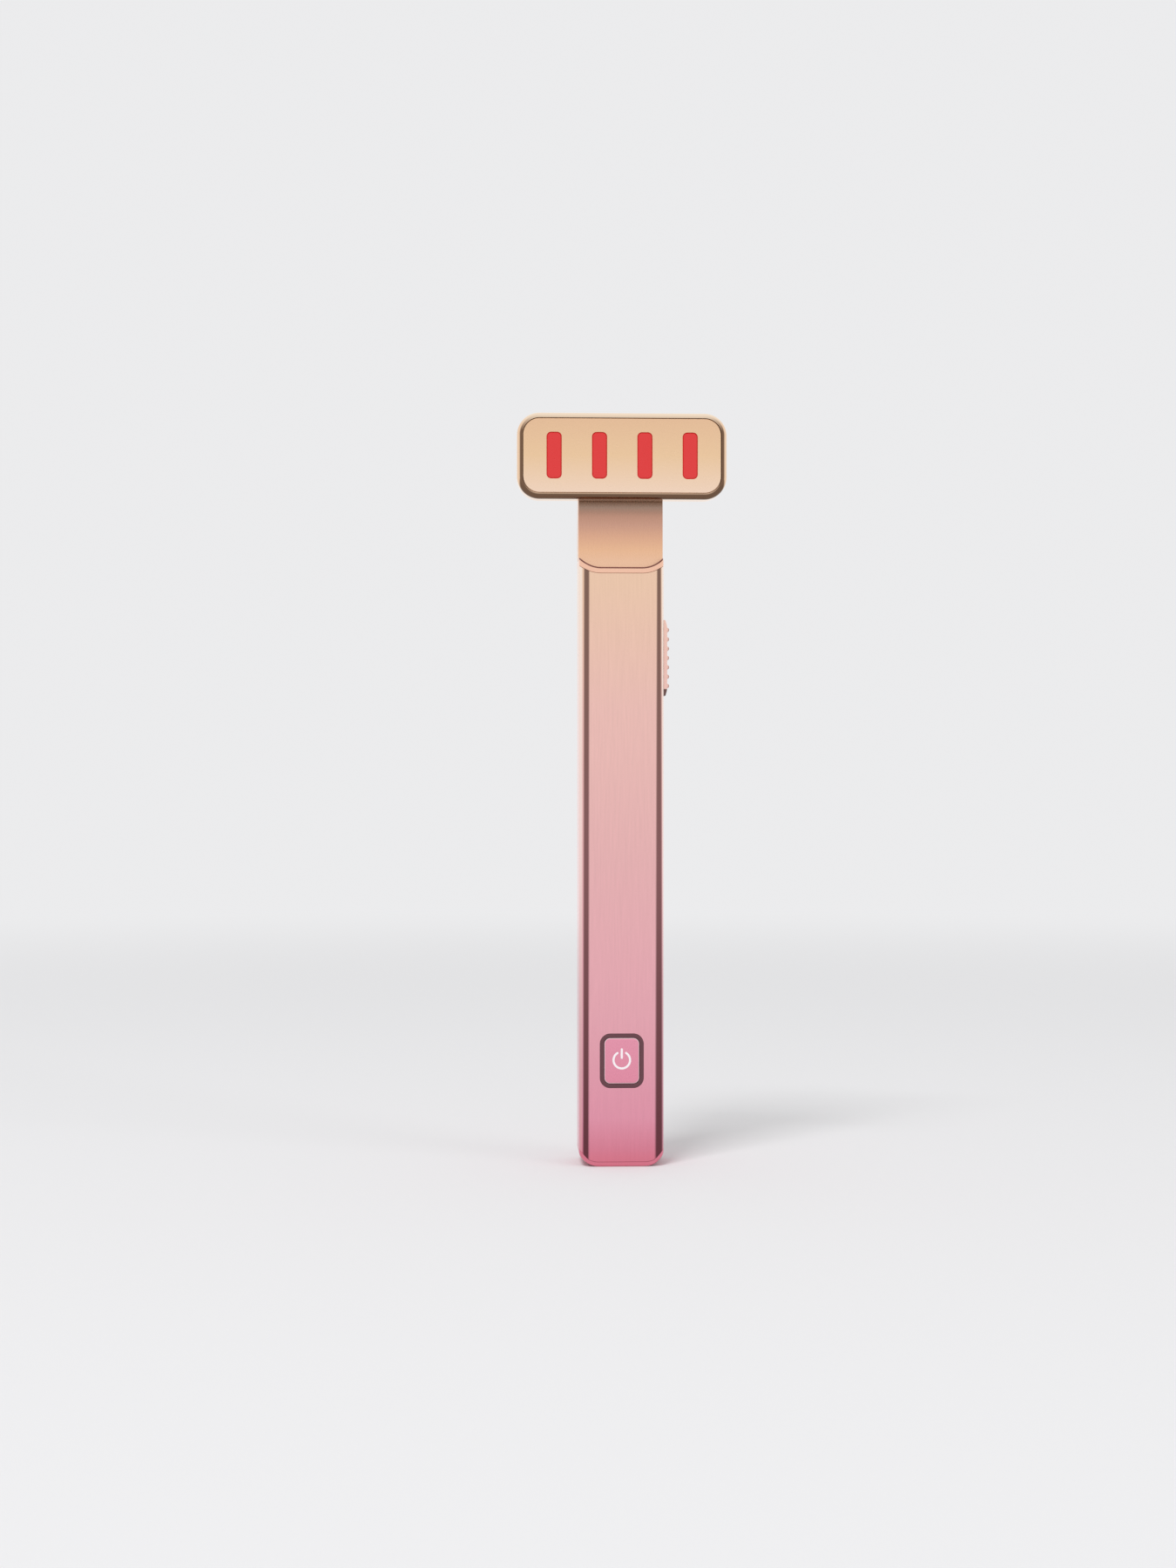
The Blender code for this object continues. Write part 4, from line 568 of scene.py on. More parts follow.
# %% End cap
FOOT_EDGE = 0.4 * MM
CAP_ROWS = 16
CAP_TOP = 5.9 * MM
FOOT_LEAST_CORNER = 0.6 * MM
PLUG_INSET = BODY_WALL + FIT
socket_low, socket_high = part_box("usb_shell")
SOCKET_HALF = socket_high.x + FIT
SOCKET_HALF_DEPTH = (socket_high.y - socket_low.y) / 2 + FIT


def foot_ring(height):
    """The cap's section at a height for each point of the handle's section."""
    below = np.clip(1 - height / FOOT_UP, 0, 1)
    half = BODY_HALF - FOOT_ACROSS + FOOT_ACROSS * np.sqrt(1 - below ** 2)
    middle = np.minimum(CORE_HALF, half - FOOT_LEAST_CORNER)
    x, y = section_loop.T
    out = np.maximum(np.abs(x) - CORE_HALF, 0) / BODY_CORNER
    drawn_x = np.sign(x) * (np.minimum(np.abs(x), CORE_HALF) / CORE_HALF * middle + out * (half - middle))
    roll_share = np.clip(1 - height / FOOT_EDGE, 0, 1)
    drawn = FOOT_EDGE * (1 - np.sqrt(1 - roll_share ** 2))
    drawn_y = BODY_MIDDLE + (y - BODY_MIDDLE) * (1 - drawn / BODY_HALF_DEPTH)
    return at_height(np.column_stack((drawn_x, drawn_y)), height)


def socket_ring(height):
    """The long oval mouth of the charging socket at a height."""
    oval = rounded(SOCKET_HALF, SOCKET_HALF_DEPTH, SOCKET_HALF_DEPTH - SEAM, (0, BODY_MIDDLE))
    return at_height(oval, height)


seam_height = foot_seam(section_loop[:, 0])
row_shares = 1 - np.cos(np.linspace(0, math.pi / 2, CAP_ROWS))
cap_rings = [foot_ring(share * seam_height) for share in row_shares]
plug_rings = [at_height(body_section(PLUG_INSET), height) for height in (seam_height, CAP_TOP)]
cap_patches = [
    wall(cap_rings), wall([cap_rings[-1], *plug_rings]), wall([socket_ring(0), socket_ring(CAP_TOP)]),
    cap(cap_rings[0], socket_ring(0), flat=XY), cap(plug_rings[-1], socket_ring(CAP_TOP), flat=XY),
]
piece("foot_cap", cap_patches, "rose_satin_cap_metal", "handle", ["bottom_cap"])

# %% [markdown]
# The light face is a metal plate with four slots, and four red bars fill them from behind. A plate is its
# outline stacked from front to back with a rolled front edge. Each slot is a second stack that is widest
# at the face, where its own edge rolls in. The bars stand on one sheet behind the plate, so that all four
# are a single piece.

# %% Light face and diffuser
PLATE_CORNER = 3.7 * MM
PLATE_EDGE = 0.22 * MM
SLOT_COUNT = 4
SLOT_HALF = np.array((1.65, 5.15)) * MM
SLOT_CORNER = 1.0 * MM
SLOT_EDGE = 0.14 * MM
SLOT_PITCH = 10.1 * MM
SLOT_STEPS = 8
BAR_EDGE = 0.25 * MM
SHEET_THICKNESS = 0.8 * MM
SHEET_CORNER = PLATE_CORNER - 1.0 * MM
bar_low, bar_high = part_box("light_diffuser")
SHEET_FRONT = bar_high.y - SHEET_THICKNESS

slot_middles = (np.arange(SLOT_COUNT) - (SLOT_COUNT - 1) / 2) * SLOT_PITCH
slots = [framed(*SLOT_HALF, SLOT_CORNER, (x, PIVOT), SLOT_STEPS) for x in slot_middles]
face_outline = framed(plate_high.x, (plate_high.z - plate_low.z) / 2, PLATE_CORNER, (0, PIVOT))
face_stack = stack(face_outline, plate_low.y, plate_high.y, PLATE_EDGE)
slot_stacks = [stack(slot, plate_low.y, plate_high.y, SLOT_EDGE, -1) for slot in slots]
face_patches = [wall(rings) for rings in (face_stack, *slot_stacks)]
face_patches += [cap(face_stack[k], *[rings[k] for rings in slot_stacks]) for k in (0, -1)]
piece("light_face_plate", face_patches, "pale_gold_face", "head", ["treatment_plate"])

sheet = rounded(bar_high.x, (bar_high.z - bar_low.z) / 2, SHEET_CORNER, (0, PIVOT))
bars = [framed(*(SLOT_HALF - SEAM), SLOT_CORNER - SEAM, (x, PIVOT), SLOT_STEPS) for x in slot_middles]
bar_patches = sunk(sheet, SHEET_FRONT, bar_high.y) + [panel(SHEET_FRONT, sheet, *[bar(0) for bar in bars])]
for bar in bars:
    rings = stack(bar, bar_low.y, SHEET_FRONT, BAR_EDGE)
    bar_patches += [wall(rings), cap(rings[0])]
piece("light_bars", bar_patches, "lit_red_bar", "head", ["light_diffuser"])

# %% [markdown]
# The head's rear shell is a shallow tray. Its rim leans away from the face and then rounds over, so it
# mirrors a long band of the room, and its back edge is rolled too. Inside are a seat for the face, a room
# for the light board, two bosses for its screws, the keyed recess and the hole for the hollow shaft, and
# behind it a stop pin.

# %% Head shell
RIM_EDGE = 1.5 * MM
RIM_LEAN = math.radians(15)
# Steps of the rim's front, of the head's back edge and of the rim's inner edge
RIM_STEPS = (12, 8, 3)
RIM_INNER_EDGE = 0.06 * MM
RIM_CORNER_STEPS = 20
HEAD_BACK_EDGE = 0.9 * MM
HEAD_THICKNESS = 6.0 * MM
SEAT_DEPTH = 1.3 * MM
FLOOR_DEPTH = 4.8 * MM
ROOM_INSET = 2.3 * MM
SHAFT_HOLE = 2.15 * MM
PIN_RADIUS = 0.8 * MM
PIN_DROP = 6.0 * MM
PIN_LENGTH = 1.15 * MM
BOSS_RADIUS = 1.5 * MM
BOSS_HOLE = 0.75 * MM
BOSS_HOLE_DEPTH = 1.55 * MM
KEY_HALF = 3.65 * MM
KEY_CORNER = 0.95 * MM
KEY_RECESS = 0.4 * MM
SMALL_STEPS = 6
board_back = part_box("led_board")[1].y
HEAD_FRONT = head_low.y
HEAD_BACK = HEAD_FRONT + HEAD_THICKNESS
SEAT_BACK = HEAD_FRONT + SEAT_DEPTH
FLOOR_FRONT = HEAD_FRONT + FLOOR_DEPTH
KEY_BACK = FLOOR_FRONT + KEY_RECESS
PIN_END = HEAD_BACK + PIN_LENGTH
BOSS_FRONT = board_back + SEAM
BOSS_HOLE_END = board_back + BOSS_HOLE_DEPTH
RIM_WIDTH = HEAD_HALF - plate_high.x - 2 * HAIRLINE

head_outline = framed(HEAD_HALF, HEAD_HALF_HEIGHT, HEAD_CORNER, (0, PIVOT), RIM_CORNER_STEPS)
front_roll = rolled(RIM_EDGE, RIM_STEPS[0], RIM_LEAN)
back_roll = rolled(HEAD_BACK_EDGE, RIM_STEPS[1])[::-1]
inner_roll = rolled(RIM_INNER_EDGE, RIM_STEPS[2])[::-1]
shell_rings = [at_depth(head_outline(RIM_WIDTH - inset), HEAD_FRONT + depth) for inset, depth in inner_roll]
shell_rings += [at_depth(head_outline(inset), HEAD_FRONT + depth) for inset, depth in front_roll]
shell_rings += [at_depth(head_outline(inset), HEAD_BACK - depth) for inset, depth in back_roll]
seat = head_outline(RIM_WIDTH)
room = head_outline(ROOM_INSET)
shaft_hole = disc(SHAFT_HOLE, (0, PIVOT))
pin = disc(PIN_RADIUS, (0, PIVOT - PIN_DROP), SMALL_STEPS)
key = rounded(KEY_HALF, KEY_HALF, KEY_CORNER, (0, PIVOT), SMALL_STEPS)
bosses = [disc(BOSS_RADIUS, (side * SLOT_PITCH, PIVOT), SMALL_STEPS) for side in (-1, 1)]
boss_holes = [disc(BOSS_HOLE, (side * SLOT_PITCH, PIVOT), SMALL_STEPS) for side in (-1, 1)]
shell_patches = [
    wall(shell_rings),
    wall([shell_rings[0], at_depth(seat, SEAT_BACK), at_depth(room, SEAT_BACK), at_depth(room, FLOOR_FRONT)]),
    panel(FLOOR_FRONT, room, key, *bosses), *sunk(key, FLOOR_FRONT, KEY_BACK, shaft_hole),
    tunnel(shaft_hole, KEY_BACK, HEAD_BACK),
    cap(shell_rings[-1], at_depth(shaft_hole, HEAD_BACK), at_depth(pin, HEAD_BACK)),
    *sunk(pin, HEAD_BACK, PIN_END),
]
for boss, hole in zip(bosses, boss_holes):
    shell_patches += sunk(boss, FLOOR_FRONT, BOSS_FRONT, hole) + sunk(hole, BOSS_FRONT, BOSS_HOLE_END)
piece("head_shell", shell_patches, "polished_bronze_shell", "head", ["head_housing"])

# %% [markdown]
# A ring such as the dark one round the power button has an outline outside and another inside. Both have
# equally many points, so the whole piece is one closed profile of outlines and depths, carried round.
# The flange behind the handle's wall is a part of the same profile. The button is made in the same way,
# from its crowned edge back to its own flange.

# %% Power button and its ring
RING_EDGE = 0.1 * MM
RING_WIDTH = 0.92 * MM
BUTTON_EDGE = 0.16 * MM
BUTTON_INSET = RING_WIDTH + HAIRLINE
FLANGE = 0.6 * MM
FLANGE_FRONT = BODY_FRONT + BODY_WALL + SEAM
ring_low, ring_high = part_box("button_ring")
PAD_FLANGE_FRONT = ring_high.y + SEAM

edge_roll = rolled(RING_EDGE, FINE_STEPS)
ring_profile = [(RING_WIDTH - inset, ring_low.y + depth) for inset, depth in edge_roll[::-1]]
ring_profile += [(inset, ring_low.y + depth) for inset, depth in edge_roll]
ring_profile += [
    (0, FLANGE_FRONT), (-FLANGE, FLANGE_FRONT), (-FLANGE, ring_high.y), (RING_WIDTH - SEAM, ring_high.y),
    (RING_WIDTH - SEAM, FLANGE_FRONT), (RING_WIDTH, FLANGE_FRONT), ring_profile[0],
]
ring_wall = wall([at_depth(ring_outside(inset), depth) for inset, depth in ring_profile])
piece("button_bezel", [ring_wall], "smoked_ring_metal", "handle", ["button_ring"])

button_profile = [(inset, button_low.y + depth) for inset, depth in rolled(BUTTON_EDGE)]
button_profile += [
    (0, PAD_FLANGE_FRONT), (-FLANGE, PAD_FLANGE_FRONT), (-FLANGE, button_high.y), (0, button_high.y),
]
button_rings = [at_depth(ring_outside(BUTTON_INSET + inset), depth) for inset, depth in button_profile]
button_patches = [wall(button_rings), cap(button_rings[0]), cap(button_rings[-1])]
power_pad = piece(
    "power_pad", button_patches, "rose_button_metal", "button", ["power_button"])

# %% [markdown]
# The power sign is an inlay of white paint: most of a circle, and a bar through its gap. Both are strokes
# with round ends. A stroke is a line of middle points, and its outline is that line moved to either side.

# %% Power sign
MARK_RADIUS = 1.85 * MM
MARK_HALF_LINE = 0.23 * MM
MARK_GAP = math.radians(31)
MARK_DROP = 0.15 * MM
MARK_BAR = (0.5 * MM, 2.4 * MM)
MARK_FRONT = button_low.y - 0.02 * MM
MARK_BACK = button_low.y + 0.05 * MM
MARK_POINTS = 60
BAR_POINTS = 4
END_STEPS = 8


def stroke(line, half_line):
    """The outline of a line with a width and round ends; its first point is repeated."""
    heading = np.gradient(line, axis=0)
    heading /= np.linalg.norm(heading, axis=1)[:, None]
    aside = np.column_stack((-heading[:, 1], heading[:, 0])) * half_line
    turn = np.linspace(math.pi / 2, -math.pi / 2, END_STEPS + 1)[1:-1, None]
    end = line[-1] + half_line * heading[-1] * np.cos(turn) + aside[-1] * np.sin(turn)
    start = line[0] - half_line * heading[0] * np.cos(turn) - aside[0] * np.sin(turn)
    return np.vstack((line + aside, end, line[::-1] - aside[::-1], start, line[:1] + aside[:1]))


mark_middle = np.array((0, BUTTON_MIDDLE + MARK_DROP))
turn = np.linspace(math.pi / 2 - MARK_GAP, math.pi / 2 + MARK_GAP - 2 * math.pi, MARK_POINTS)
ring_line = mark_middle + MARK_RADIUS * np.column_stack((np.cos(turn), np.sin(turn)))
bar_line = mark_middle + np.column_stack((np.zeros(BAR_POINTS), np.linspace(*MARK_BAR, BAR_POINTS)))
mark_patches = []
for line in (ring_line, bar_line):
    outline = stroke(line, MARK_HALF_LINE)
    mark_patches += [panel(MARK_FRONT, outline), *sunk(outline, MARK_FRONT, MARK_BACK)]
piece("power_sign", mark_patches, "white_paint", "button")

# %% [markdown]
# The mode slider is a thumb pad on the right flank. Its surface is a height over a grid: along the pad
# the height ramps up at both ends and carries seven ribs, and across the pad it falls off at the edges
# like a superellipse. The ribs fade out before the edges, so that each ends in a small round nose.

# %% Mode slider
RIB_COUNT = 7
RIB_PITCH = 2.1 * MM
RIB_HALF = 0.5 * MM
RIB_RISE = 0.4 * MM
RIB_REACH_SHARE = 0.86
RIB_NOSE_SHARE = 0.08
PAD_RAMP = 1.9 * MM
PAD_TIP = 0.45 * MM
PAD_ROWS = 220
PAD_COLUMNS = 41
PAD_FALL_POWER = 7.0
PAD_BASE = BODY_HALF + FIT
PAD_RISE = slider_high.x - RIB_RISE - PAD_BASE
PAD_HALF = (slider_high.z - slider_low.z) / 2
PAD_HALF_WIDE = (slider_high.y - slider_low.y) / 2


def pad_height(length_share, width_share):
    """Ramped ends, round ribs, and edges that fall off across the pad; shares go from -1 to 1."""
    from_end = (1 - np.abs(length_share)) * PAD_HALF
    level = PAD_TIP + (PAD_RISE - PAD_TIP) * np.sin(np.clip(from_end / PAD_RAMP, 0, 1) * math.pi / 2)
    z = length_share * PAD_HALF
    nearest = np.clip(np.round(z / RIB_PITCH), -(RIB_COUNT // 2), RIB_COUNT // 2) * RIB_PITCH
    rib = np.sqrt(np.clip(1 - ((z - nearest) / RIB_HALF) ** 2, 0, 1))
    past_reach = np.clip((np.abs(width_share) - RIB_REACH_SHARE) / RIB_NOSE_SHARE, 0, 1)
    fall = np.clip(1 - np.abs(width_share) ** PAD_FALL_POWER, 0, 1) ** (1 / PAD_FALL_POWER)
    return level * fall + RIB_RISE * rib * np.sqrt(1 - past_reach ** 2)


length_share, width_share = np.meshgrid(
    np.linspace(-1, 1, PAD_ROWS), np.sin(np.linspace(-1, 1, PAD_COLUMNS) * math.pi / 2), indexing="ij")
pad_y = BODY_MIDDLE + width_share * PAD_HALF_WIDE
pad_z = SLIDER_MIDDLE + length_share * PAD_HALF
pad_top = np.stack((PAD_BASE + pad_height(length_share, width_share), pad_y, pad_z), axis=-1)
pad_floor = np.stack((np.full(pad_y.shape, PAD_BASE), pad_y, pad_z), axis=-1)
pad_rim = np.vstack((pad_floor[0], pad_floor[1:, -1], pad_floor[-1, -2::-1], pad_floor[-2::-1, 0]))
stem_middle = (BODY_MIDDLE, SLIDER_MIDDLE)
stem = rounded(STEM_HALF[0] - SEAM, STEM_HALF[1], STEM_HALF[0] - 2 * SEAM, stem_middle, STEM_STEPS)
stem_in, stem_out = [np.column_stack((np.full(len(stem), x), stem)) for x in (slider_low.x, PAD_BASE)]
pad_patches = [wall(pad_top), wall([pad_top[0], pad_floor[0]]), wall([pad_top[-1], pad_floor[-1]])]
pad_patches += [wall([stem_in, stem_out]), cap(stem_in, flat=YZ), cap(pad_rim, stem_out, flat=YZ)]
piece("mode_thumb", pad_patches, "peach_slider_metal", "slider", ["mode_slider"])

# %% [markdown]
# The neck is one moulding: a blade behind the head, and a plug that goes down into the handle. Its outline
# from the front is an arch. Its back is as deep as the handle at the shoulder and eases to a thin blade
# behind the head. So the blade is a profile, from the front edge round to the cover's pocket, carried
# along the arch, and below the pocket the back is carried along the handle's section instead.

# %% Neck outlines
NECK_SEAM = COLLAR_TOP - GAP
NECK_THIN = 2.8 * MM
NECK_BEND = (136.5 * MM, 151.5 * MM)
NECK_EDGE = 0.4 * MM
NECK_TOP_CORNER = 8.4 * MM
NECK_FLOOR_DEPTH = 1.8 * MM
NECK_SKIRT = 137.0 * MM
MOUTH_FOOT = 141.4 * MM
MOUTH_SIDE = 1.2 * MM
MOUTH_LEDGE = 1.0 * MM
LID_THICKNESS = 1.2 * MM
NECK_FRONT = HEAD_BACK + GAP
SIDE_FRONT = NECK_FRONT + NECK_EDGE
ARC_LEVEL = neck_high.z - NECK_TOP_CORNER
SIDE_SHARES = np.linspace(0, 1, 9)
FLAT_SHARES = np.linspace(1, -1, 31)
corner_turn = np.linspace(0, math.pi / 2, 11)
arch_turn = np.linspace(0, math.pi / 2, 29)[1:]
lower_levels = np.linspace(NECK_SKIRT, MOUTH_FOOT, 9)
upper_levels = np.linspace(MOUTH_FOOT, ARC_LEVEL, 24)


def smooth_step(value, start, end):
    """Nought to one between two values, with a level start and end."""
    share = np.clip((value - start) / (end - start), 0, 1)
    return share * share * (3 - 2 * share)


def neck_back(z):
    """How far back the neck reaches at a height."""
    return BODY_BACK - NECK_THIN * smooth_step(z, *NECK_BEND)


def mirrored(right, *middle):
    """A row of points from its right half, a middle part, and the right half in mirror image."""
    return np.vstack((right, *middle, right[::-1] * (-1, 1)))


def half_section(front, middle_x, middle_y, radius, side_shares=SIDE_SHARES, way=1):
    """The rear or front part of a section as x and y: right side, corner, flat, and all in mirror image.

    The corner is a quarter circle about its middle; way is -1 for a corner that turns to the front.
    """
    side_y = front + (middle_y - front) * side_shares
    side = np.column_stack((np.full(len(side_y), middle_x + radius), side_y))
    bend = (middle_x, middle_y) + radius * np.column_stack((np.cos(corner_turn), way * np.sin(corner_turn)))
    flat = np.column_stack((FLAT_SHARES * middle_x, np.full(len(FLAT_SHARES), middle_y + way * radius)))
    return mirrored(np.vstack((side, bend[1:])), flat[1:-1])


def neck_row(z):
    """The neck's sides and back at a height; its corners shrink from the handle's to the mouth's."""
    corner = BODY_CORNER + (MOUTH_SIDE - BODY_CORNER) * smooth_step(z, NECK_BEND[0], MOUTH_FOOT)
    return half_section(SIDE_FRONT, BODY_HALF - corner, neck_back(z) - corner, corner)


def arch(inset, levels):
    """The neck's outline from the front: up the right side, over the round top and down the left."""
    side = np.column_stack((np.full(len(levels), BODY_HALF - inset), levels))
    reach = (NECK_TOP_CORNER - inset) * np.column_stack((np.cos(arch_turn), np.sin(arch_turn)))
    return mirrored(np.vstack((side, (BODY_HALF - NECK_TOP_CORNER, ARC_LEVEL) + reach)))


def raised_foot(inset):
    """Levels along the arch's sides for an outline drawn in past the mouth, with its foot raised too."""
    foot = MOUTH_FOOT + max(inset - MOUTH_SIDE, 0)
    return ARC_LEVEL - (ARC_LEVEL - upper_levels) * (ARC_LEVEL - foot) / (ARC_LEVEL - MOUTH_FOOT)


all_levels = np.concatenate((lower_levels, upper_levels[1:]))
print("arch points", len(arch(0, all_levels)), "row points", len(neck_row(MOUTH_FOOT)))

# %% [markdown]
# The blade's surface is a list of columns, and each column is an outline with its depth. The front columns
# roll the front edge, the side columns run back and round the rear corner, and the mouth columns step down
# into the pocket that the cover closes. Three small polygons close the pocket's foot.

# %% Neck blade
NECK_FLOOR = NECK_FRONT + NECK_FLOOR_DEPTH
MOUTH_DEPTH = LID_THICKNESS + SEAM
POCKET_INSET = MOUTH_SIDE + MOUTH_LEDGE


def behind_arch(inset, depth):
    """A column of the neck's sweep at an inset, a depth in front of the neck's back."""
    outline = arch(inset, raised_foot(inset))
    return outline, neck_back(outline[:, 1]) - depth


def swept(columns):
    """A grid from columns of (outline in X and Z, depth) that run along the arch."""
    return wall([at_depth(*column) for column in columns])


front_columns = []
for inset, depth in rolled(NECK_EDGE):
    foot = shoulder(BODY_HALF - inset, NECK_SEAM)
    front_columns.append((arch(inset, np.concatenate(([foot], all_levels))), NECK_FRONT + depth))
side_outline = arch(0, upper_levels)
side_back = neck_back(side_outline[:, 1]) - MOUTH_SIDE
side_columns = [(side_outline, SIDE_FRONT + (side_back - SIDE_FRONT) * share) for share in SIDE_SHARES]
side_columns += [
    behind_arch(MOUTH_SIDE * (1 - math.cos(turn)), MOUTH_SIDE * (1 - math.sin(turn)))
    for turn in corner_turn[1:]
]
pocket_outline = arch(POCKET_INSET, raised_foot(POCKET_INSET))
mouth_columns = [
    side_columns[-1], behind_arch(MOUTH_SIDE, MOUTH_DEPTH), behind_arch(POCKET_INSET, MOUTH_DEPTH),
    (pocket_outline, NECK_FLOOR),
]

skirt = [at_shoulder(neck_row(NECK_BEND[0]), NECK_SEAM)]
skirt += [at_height(neck_row(z), z) for z in lower_levels]

turned_in = len(SIDE_SHARES) + len(corner_turn) - 2
mouth_row = skirt[-1][turned_in:-turned_in]
mouth_end, ledge_end, floor_end = [at_depth(*column)[[-1, 0]] for column in mouth_columns[1:]]
mouth_wall = np.vstack((mouth_row, mouth_end, mouth_row[:1]))
ledge_floor = np.vstack((mouth_end, ledge_end[::-1], mouth_end[:1]))
pocket_wall = np.vstack((ledge_end, floor_end[::-1], ledge_end[:1]))
print("skirt rows", len(skirt), "columns", len(front_columns) + len(side_columns) + len(mouth_columns))

# %% [markdown]
# The plug below the blade fills the tube's mouth. Its rear half rises to the neck's foot, and its front
# half stops at the shoulder, which leaves the ledge in front of the blade. The front of the blade has the
# shaft's hole, and an arc groove for the head's stop pin, whose ends stop the head at a quarter turn.

# %% Neck plug, holes and shell
SHAFT_ROOM = 2.09 * MM
GROOVE_HALF = 1.1 * MM
GROOVE_DEPTH = 1.0 * MM
GROOVE_TURN = math.radians(101)
GROOVE_POINTS = 60
CABLE_WAY = (2.0 * MM, 1.3 * MM)
CABLE_HALF = 0.6 * MM
CABLE_STEPS = 2
PLUG_CORNER = BODY_CORNER - PLUG_INSET
POCKET_FOOT = MOUTH_FOOT + MOUTH_LEDGE
GROOVE_BACK = NECK_FRONT + GROOVE_DEPTH
cable_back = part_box("head_cable")[1].y

rear = half_section(NECK_FRONT, CORE_HALF, CORE_BACK, PLUG_CORNER)
fore = half_section(NECK_FRONT, CORE_HALF, CORE_FRONT, PLUG_CORNER, np.array((0, 1)), -1)
whole = np.vstack((rear, fore[::-1][1:]))
plug_low = at_height(whole, neck_low.z)
plug_step = at_shoulder(whole, COLLAR_TOP)
rear_top = at_shoulder(rear, NECK_SEAM)
fore_top = at_shoulder(fore, COLLAR_TOP)[1:-1]
fore_back = fore_top * (1, 0, 1) + (0, NECK_FRONT, 0)
cable_way = rounded(*CABLE_WAY, SEAM, (0, cable_back - CABLE_HALF), CABLE_STEPS)
cable_mouths = [at_height(cable_way, z) for z in (neck_low.z, POCKET_FOOT)]

swing = np.linspace(-math.pi / 2 - GROOVE_TURN, -math.pi / 2 + GROOVE_TURN, GROOVE_POINTS)
swing_line = np.column_stack((np.cos(swing), np.sin(swing)))
groove = np.vstack(((PIN_DROP + GROOVE_HALF) * swing_line, (PIN_DROP - GROOVE_HALF) * swing_line[::-1]))
groove = np.vstack((groove, groove[:1])) + (0, PIVOT)
shaft_room = disc(SHAFT_ROOM, (0, PIVOT))

face_edge = at_depth(*front_columns[0])
side_foot = float(shoulder(BODY_HALF - PLUG_INSET, NECK_SEAM))
step_foot = [(sign * (BODY_HALF - PLUG_INSET), NECK_FRONT, side_foot) for sign in (-1, 1)]
neck_face = np.vstack((face_edge, step_foot[:1], fore_back[::-1], step_foot[1:], face_edge[:1]))
edge_foot = np.array([at_depth(*column)[0] for column in front_columns])
edge_foot = np.vstack((edge_foot, step_foot[1:], edge_foot[:1]))
pocket_ring = pocket_outline[np.r_[:len(pocket_outline), 0]]
neck_patches = [
    swept(front_columns), swept(side_columns), swept(mouth_columns), wall(skirt),
    cap(mouth_wall, flat=XY), cap(ledge_floor), cap(pocket_wall, cable_mouths[1], flat=XY),
    panel(NECK_FLOOR, pocket_ring, shaft_room),
    cap(neck_face, at_depth(groove, NECK_FRONT), at_depth(shaft_room, NECK_FRONT)),
    tunnel(shaft_room, NECK_FRONT, NECK_FLOOR), *sunk(groove, NECK_FRONT, GROOVE_BACK),
    wall([plug_low, plug_step]), wall([plug_step[:len(rear)], rear_top, skirt[0]]),
    wall([fore_top, fore_back]), cap(edge_foot, flat=XY), cap(edge_foot * (-1, 1, 1), flat=XY),
    cap(plug_low, cable_mouths[0], flat=XY), wall(cable_mouths),
]
piece("neck_shell", neck_patches, "brushed_peach_coating", "handle", ["neck_arm"])

# %% [markdown]
# The rear cover closes the pocket in the neck. It is a curved sheet that follows the neck's own back, with
# a hairline of room all round and a fine rolled edge, so it reads as a separate moulding.

# %% Rear cover of the neck
LID_INSET = MOUTH_SIDE + FIT
LID_EDGE = 0.12 * MM
LID_STEPS = 3

lid_rings = []
for inset, depth in rolled(LID_EDGE, LID_STEPS) + [(0, LID_THICKNESS)]:
    levels = np.linspace(MOUTH_FOOT + FIT + inset, ARC_LEVEL, len(upper_levels))
    outline = arch(LID_INSET + inset, levels)
    lid_rings.append(at_depth(outline, neck_back(outline[:, 1]) - depth))
half = len(lid_rings[0]) // 2
lid_patches = [wall([np.vstack((ring, ring[:1])) for ring in lid_rings])]
lid_patches += [wall([ring[:half], ring[half:][::-1]]) for ring in (lid_rings[0], lid_rings[-1])]
piece("neck_lid", lid_patches, "brushed_peach_cover", "handle", ["neck_back_cover"])

# %% [markdown]
# A finish is a Principled shader whose colour, roughness and bump come from patterns on object
# coordinates, so a pattern stays on its piece when the piece moves. Colours are written as they look on a
# screen, from 0 to 255, and turned into the linear values that a shader reads. One table holds the plain
# facts of every outer finish, and a function builds the material from its row.

# %% Helpers for finishes
GRAIN_DETAIL = 3.0
STREAK_DETAIL = 4.0
EVEN = (1, 1, 1)
# The reds of the lit pieces are linear values already
LIT = {"Emission Color": (1.0, 0.045, 0.045, 1), "Emission Strength": 0.35}
BAR_RED = (0.35, 0.01, 0.01, 1)
PACKAGE_RED = (0.5, 0.02, 0.02, 1)


def screen(red, green, blue):
    """A colour as it looks on a screen, as the linear values a shader reads."""
    share = np.array((red, green, blue)) / 255
    linear = np.where(share <= 0.04045, share / 12.92, ((share + 0.055) / 1.055) ** 2.4)
    return (*linear.tolist(), 1.0)


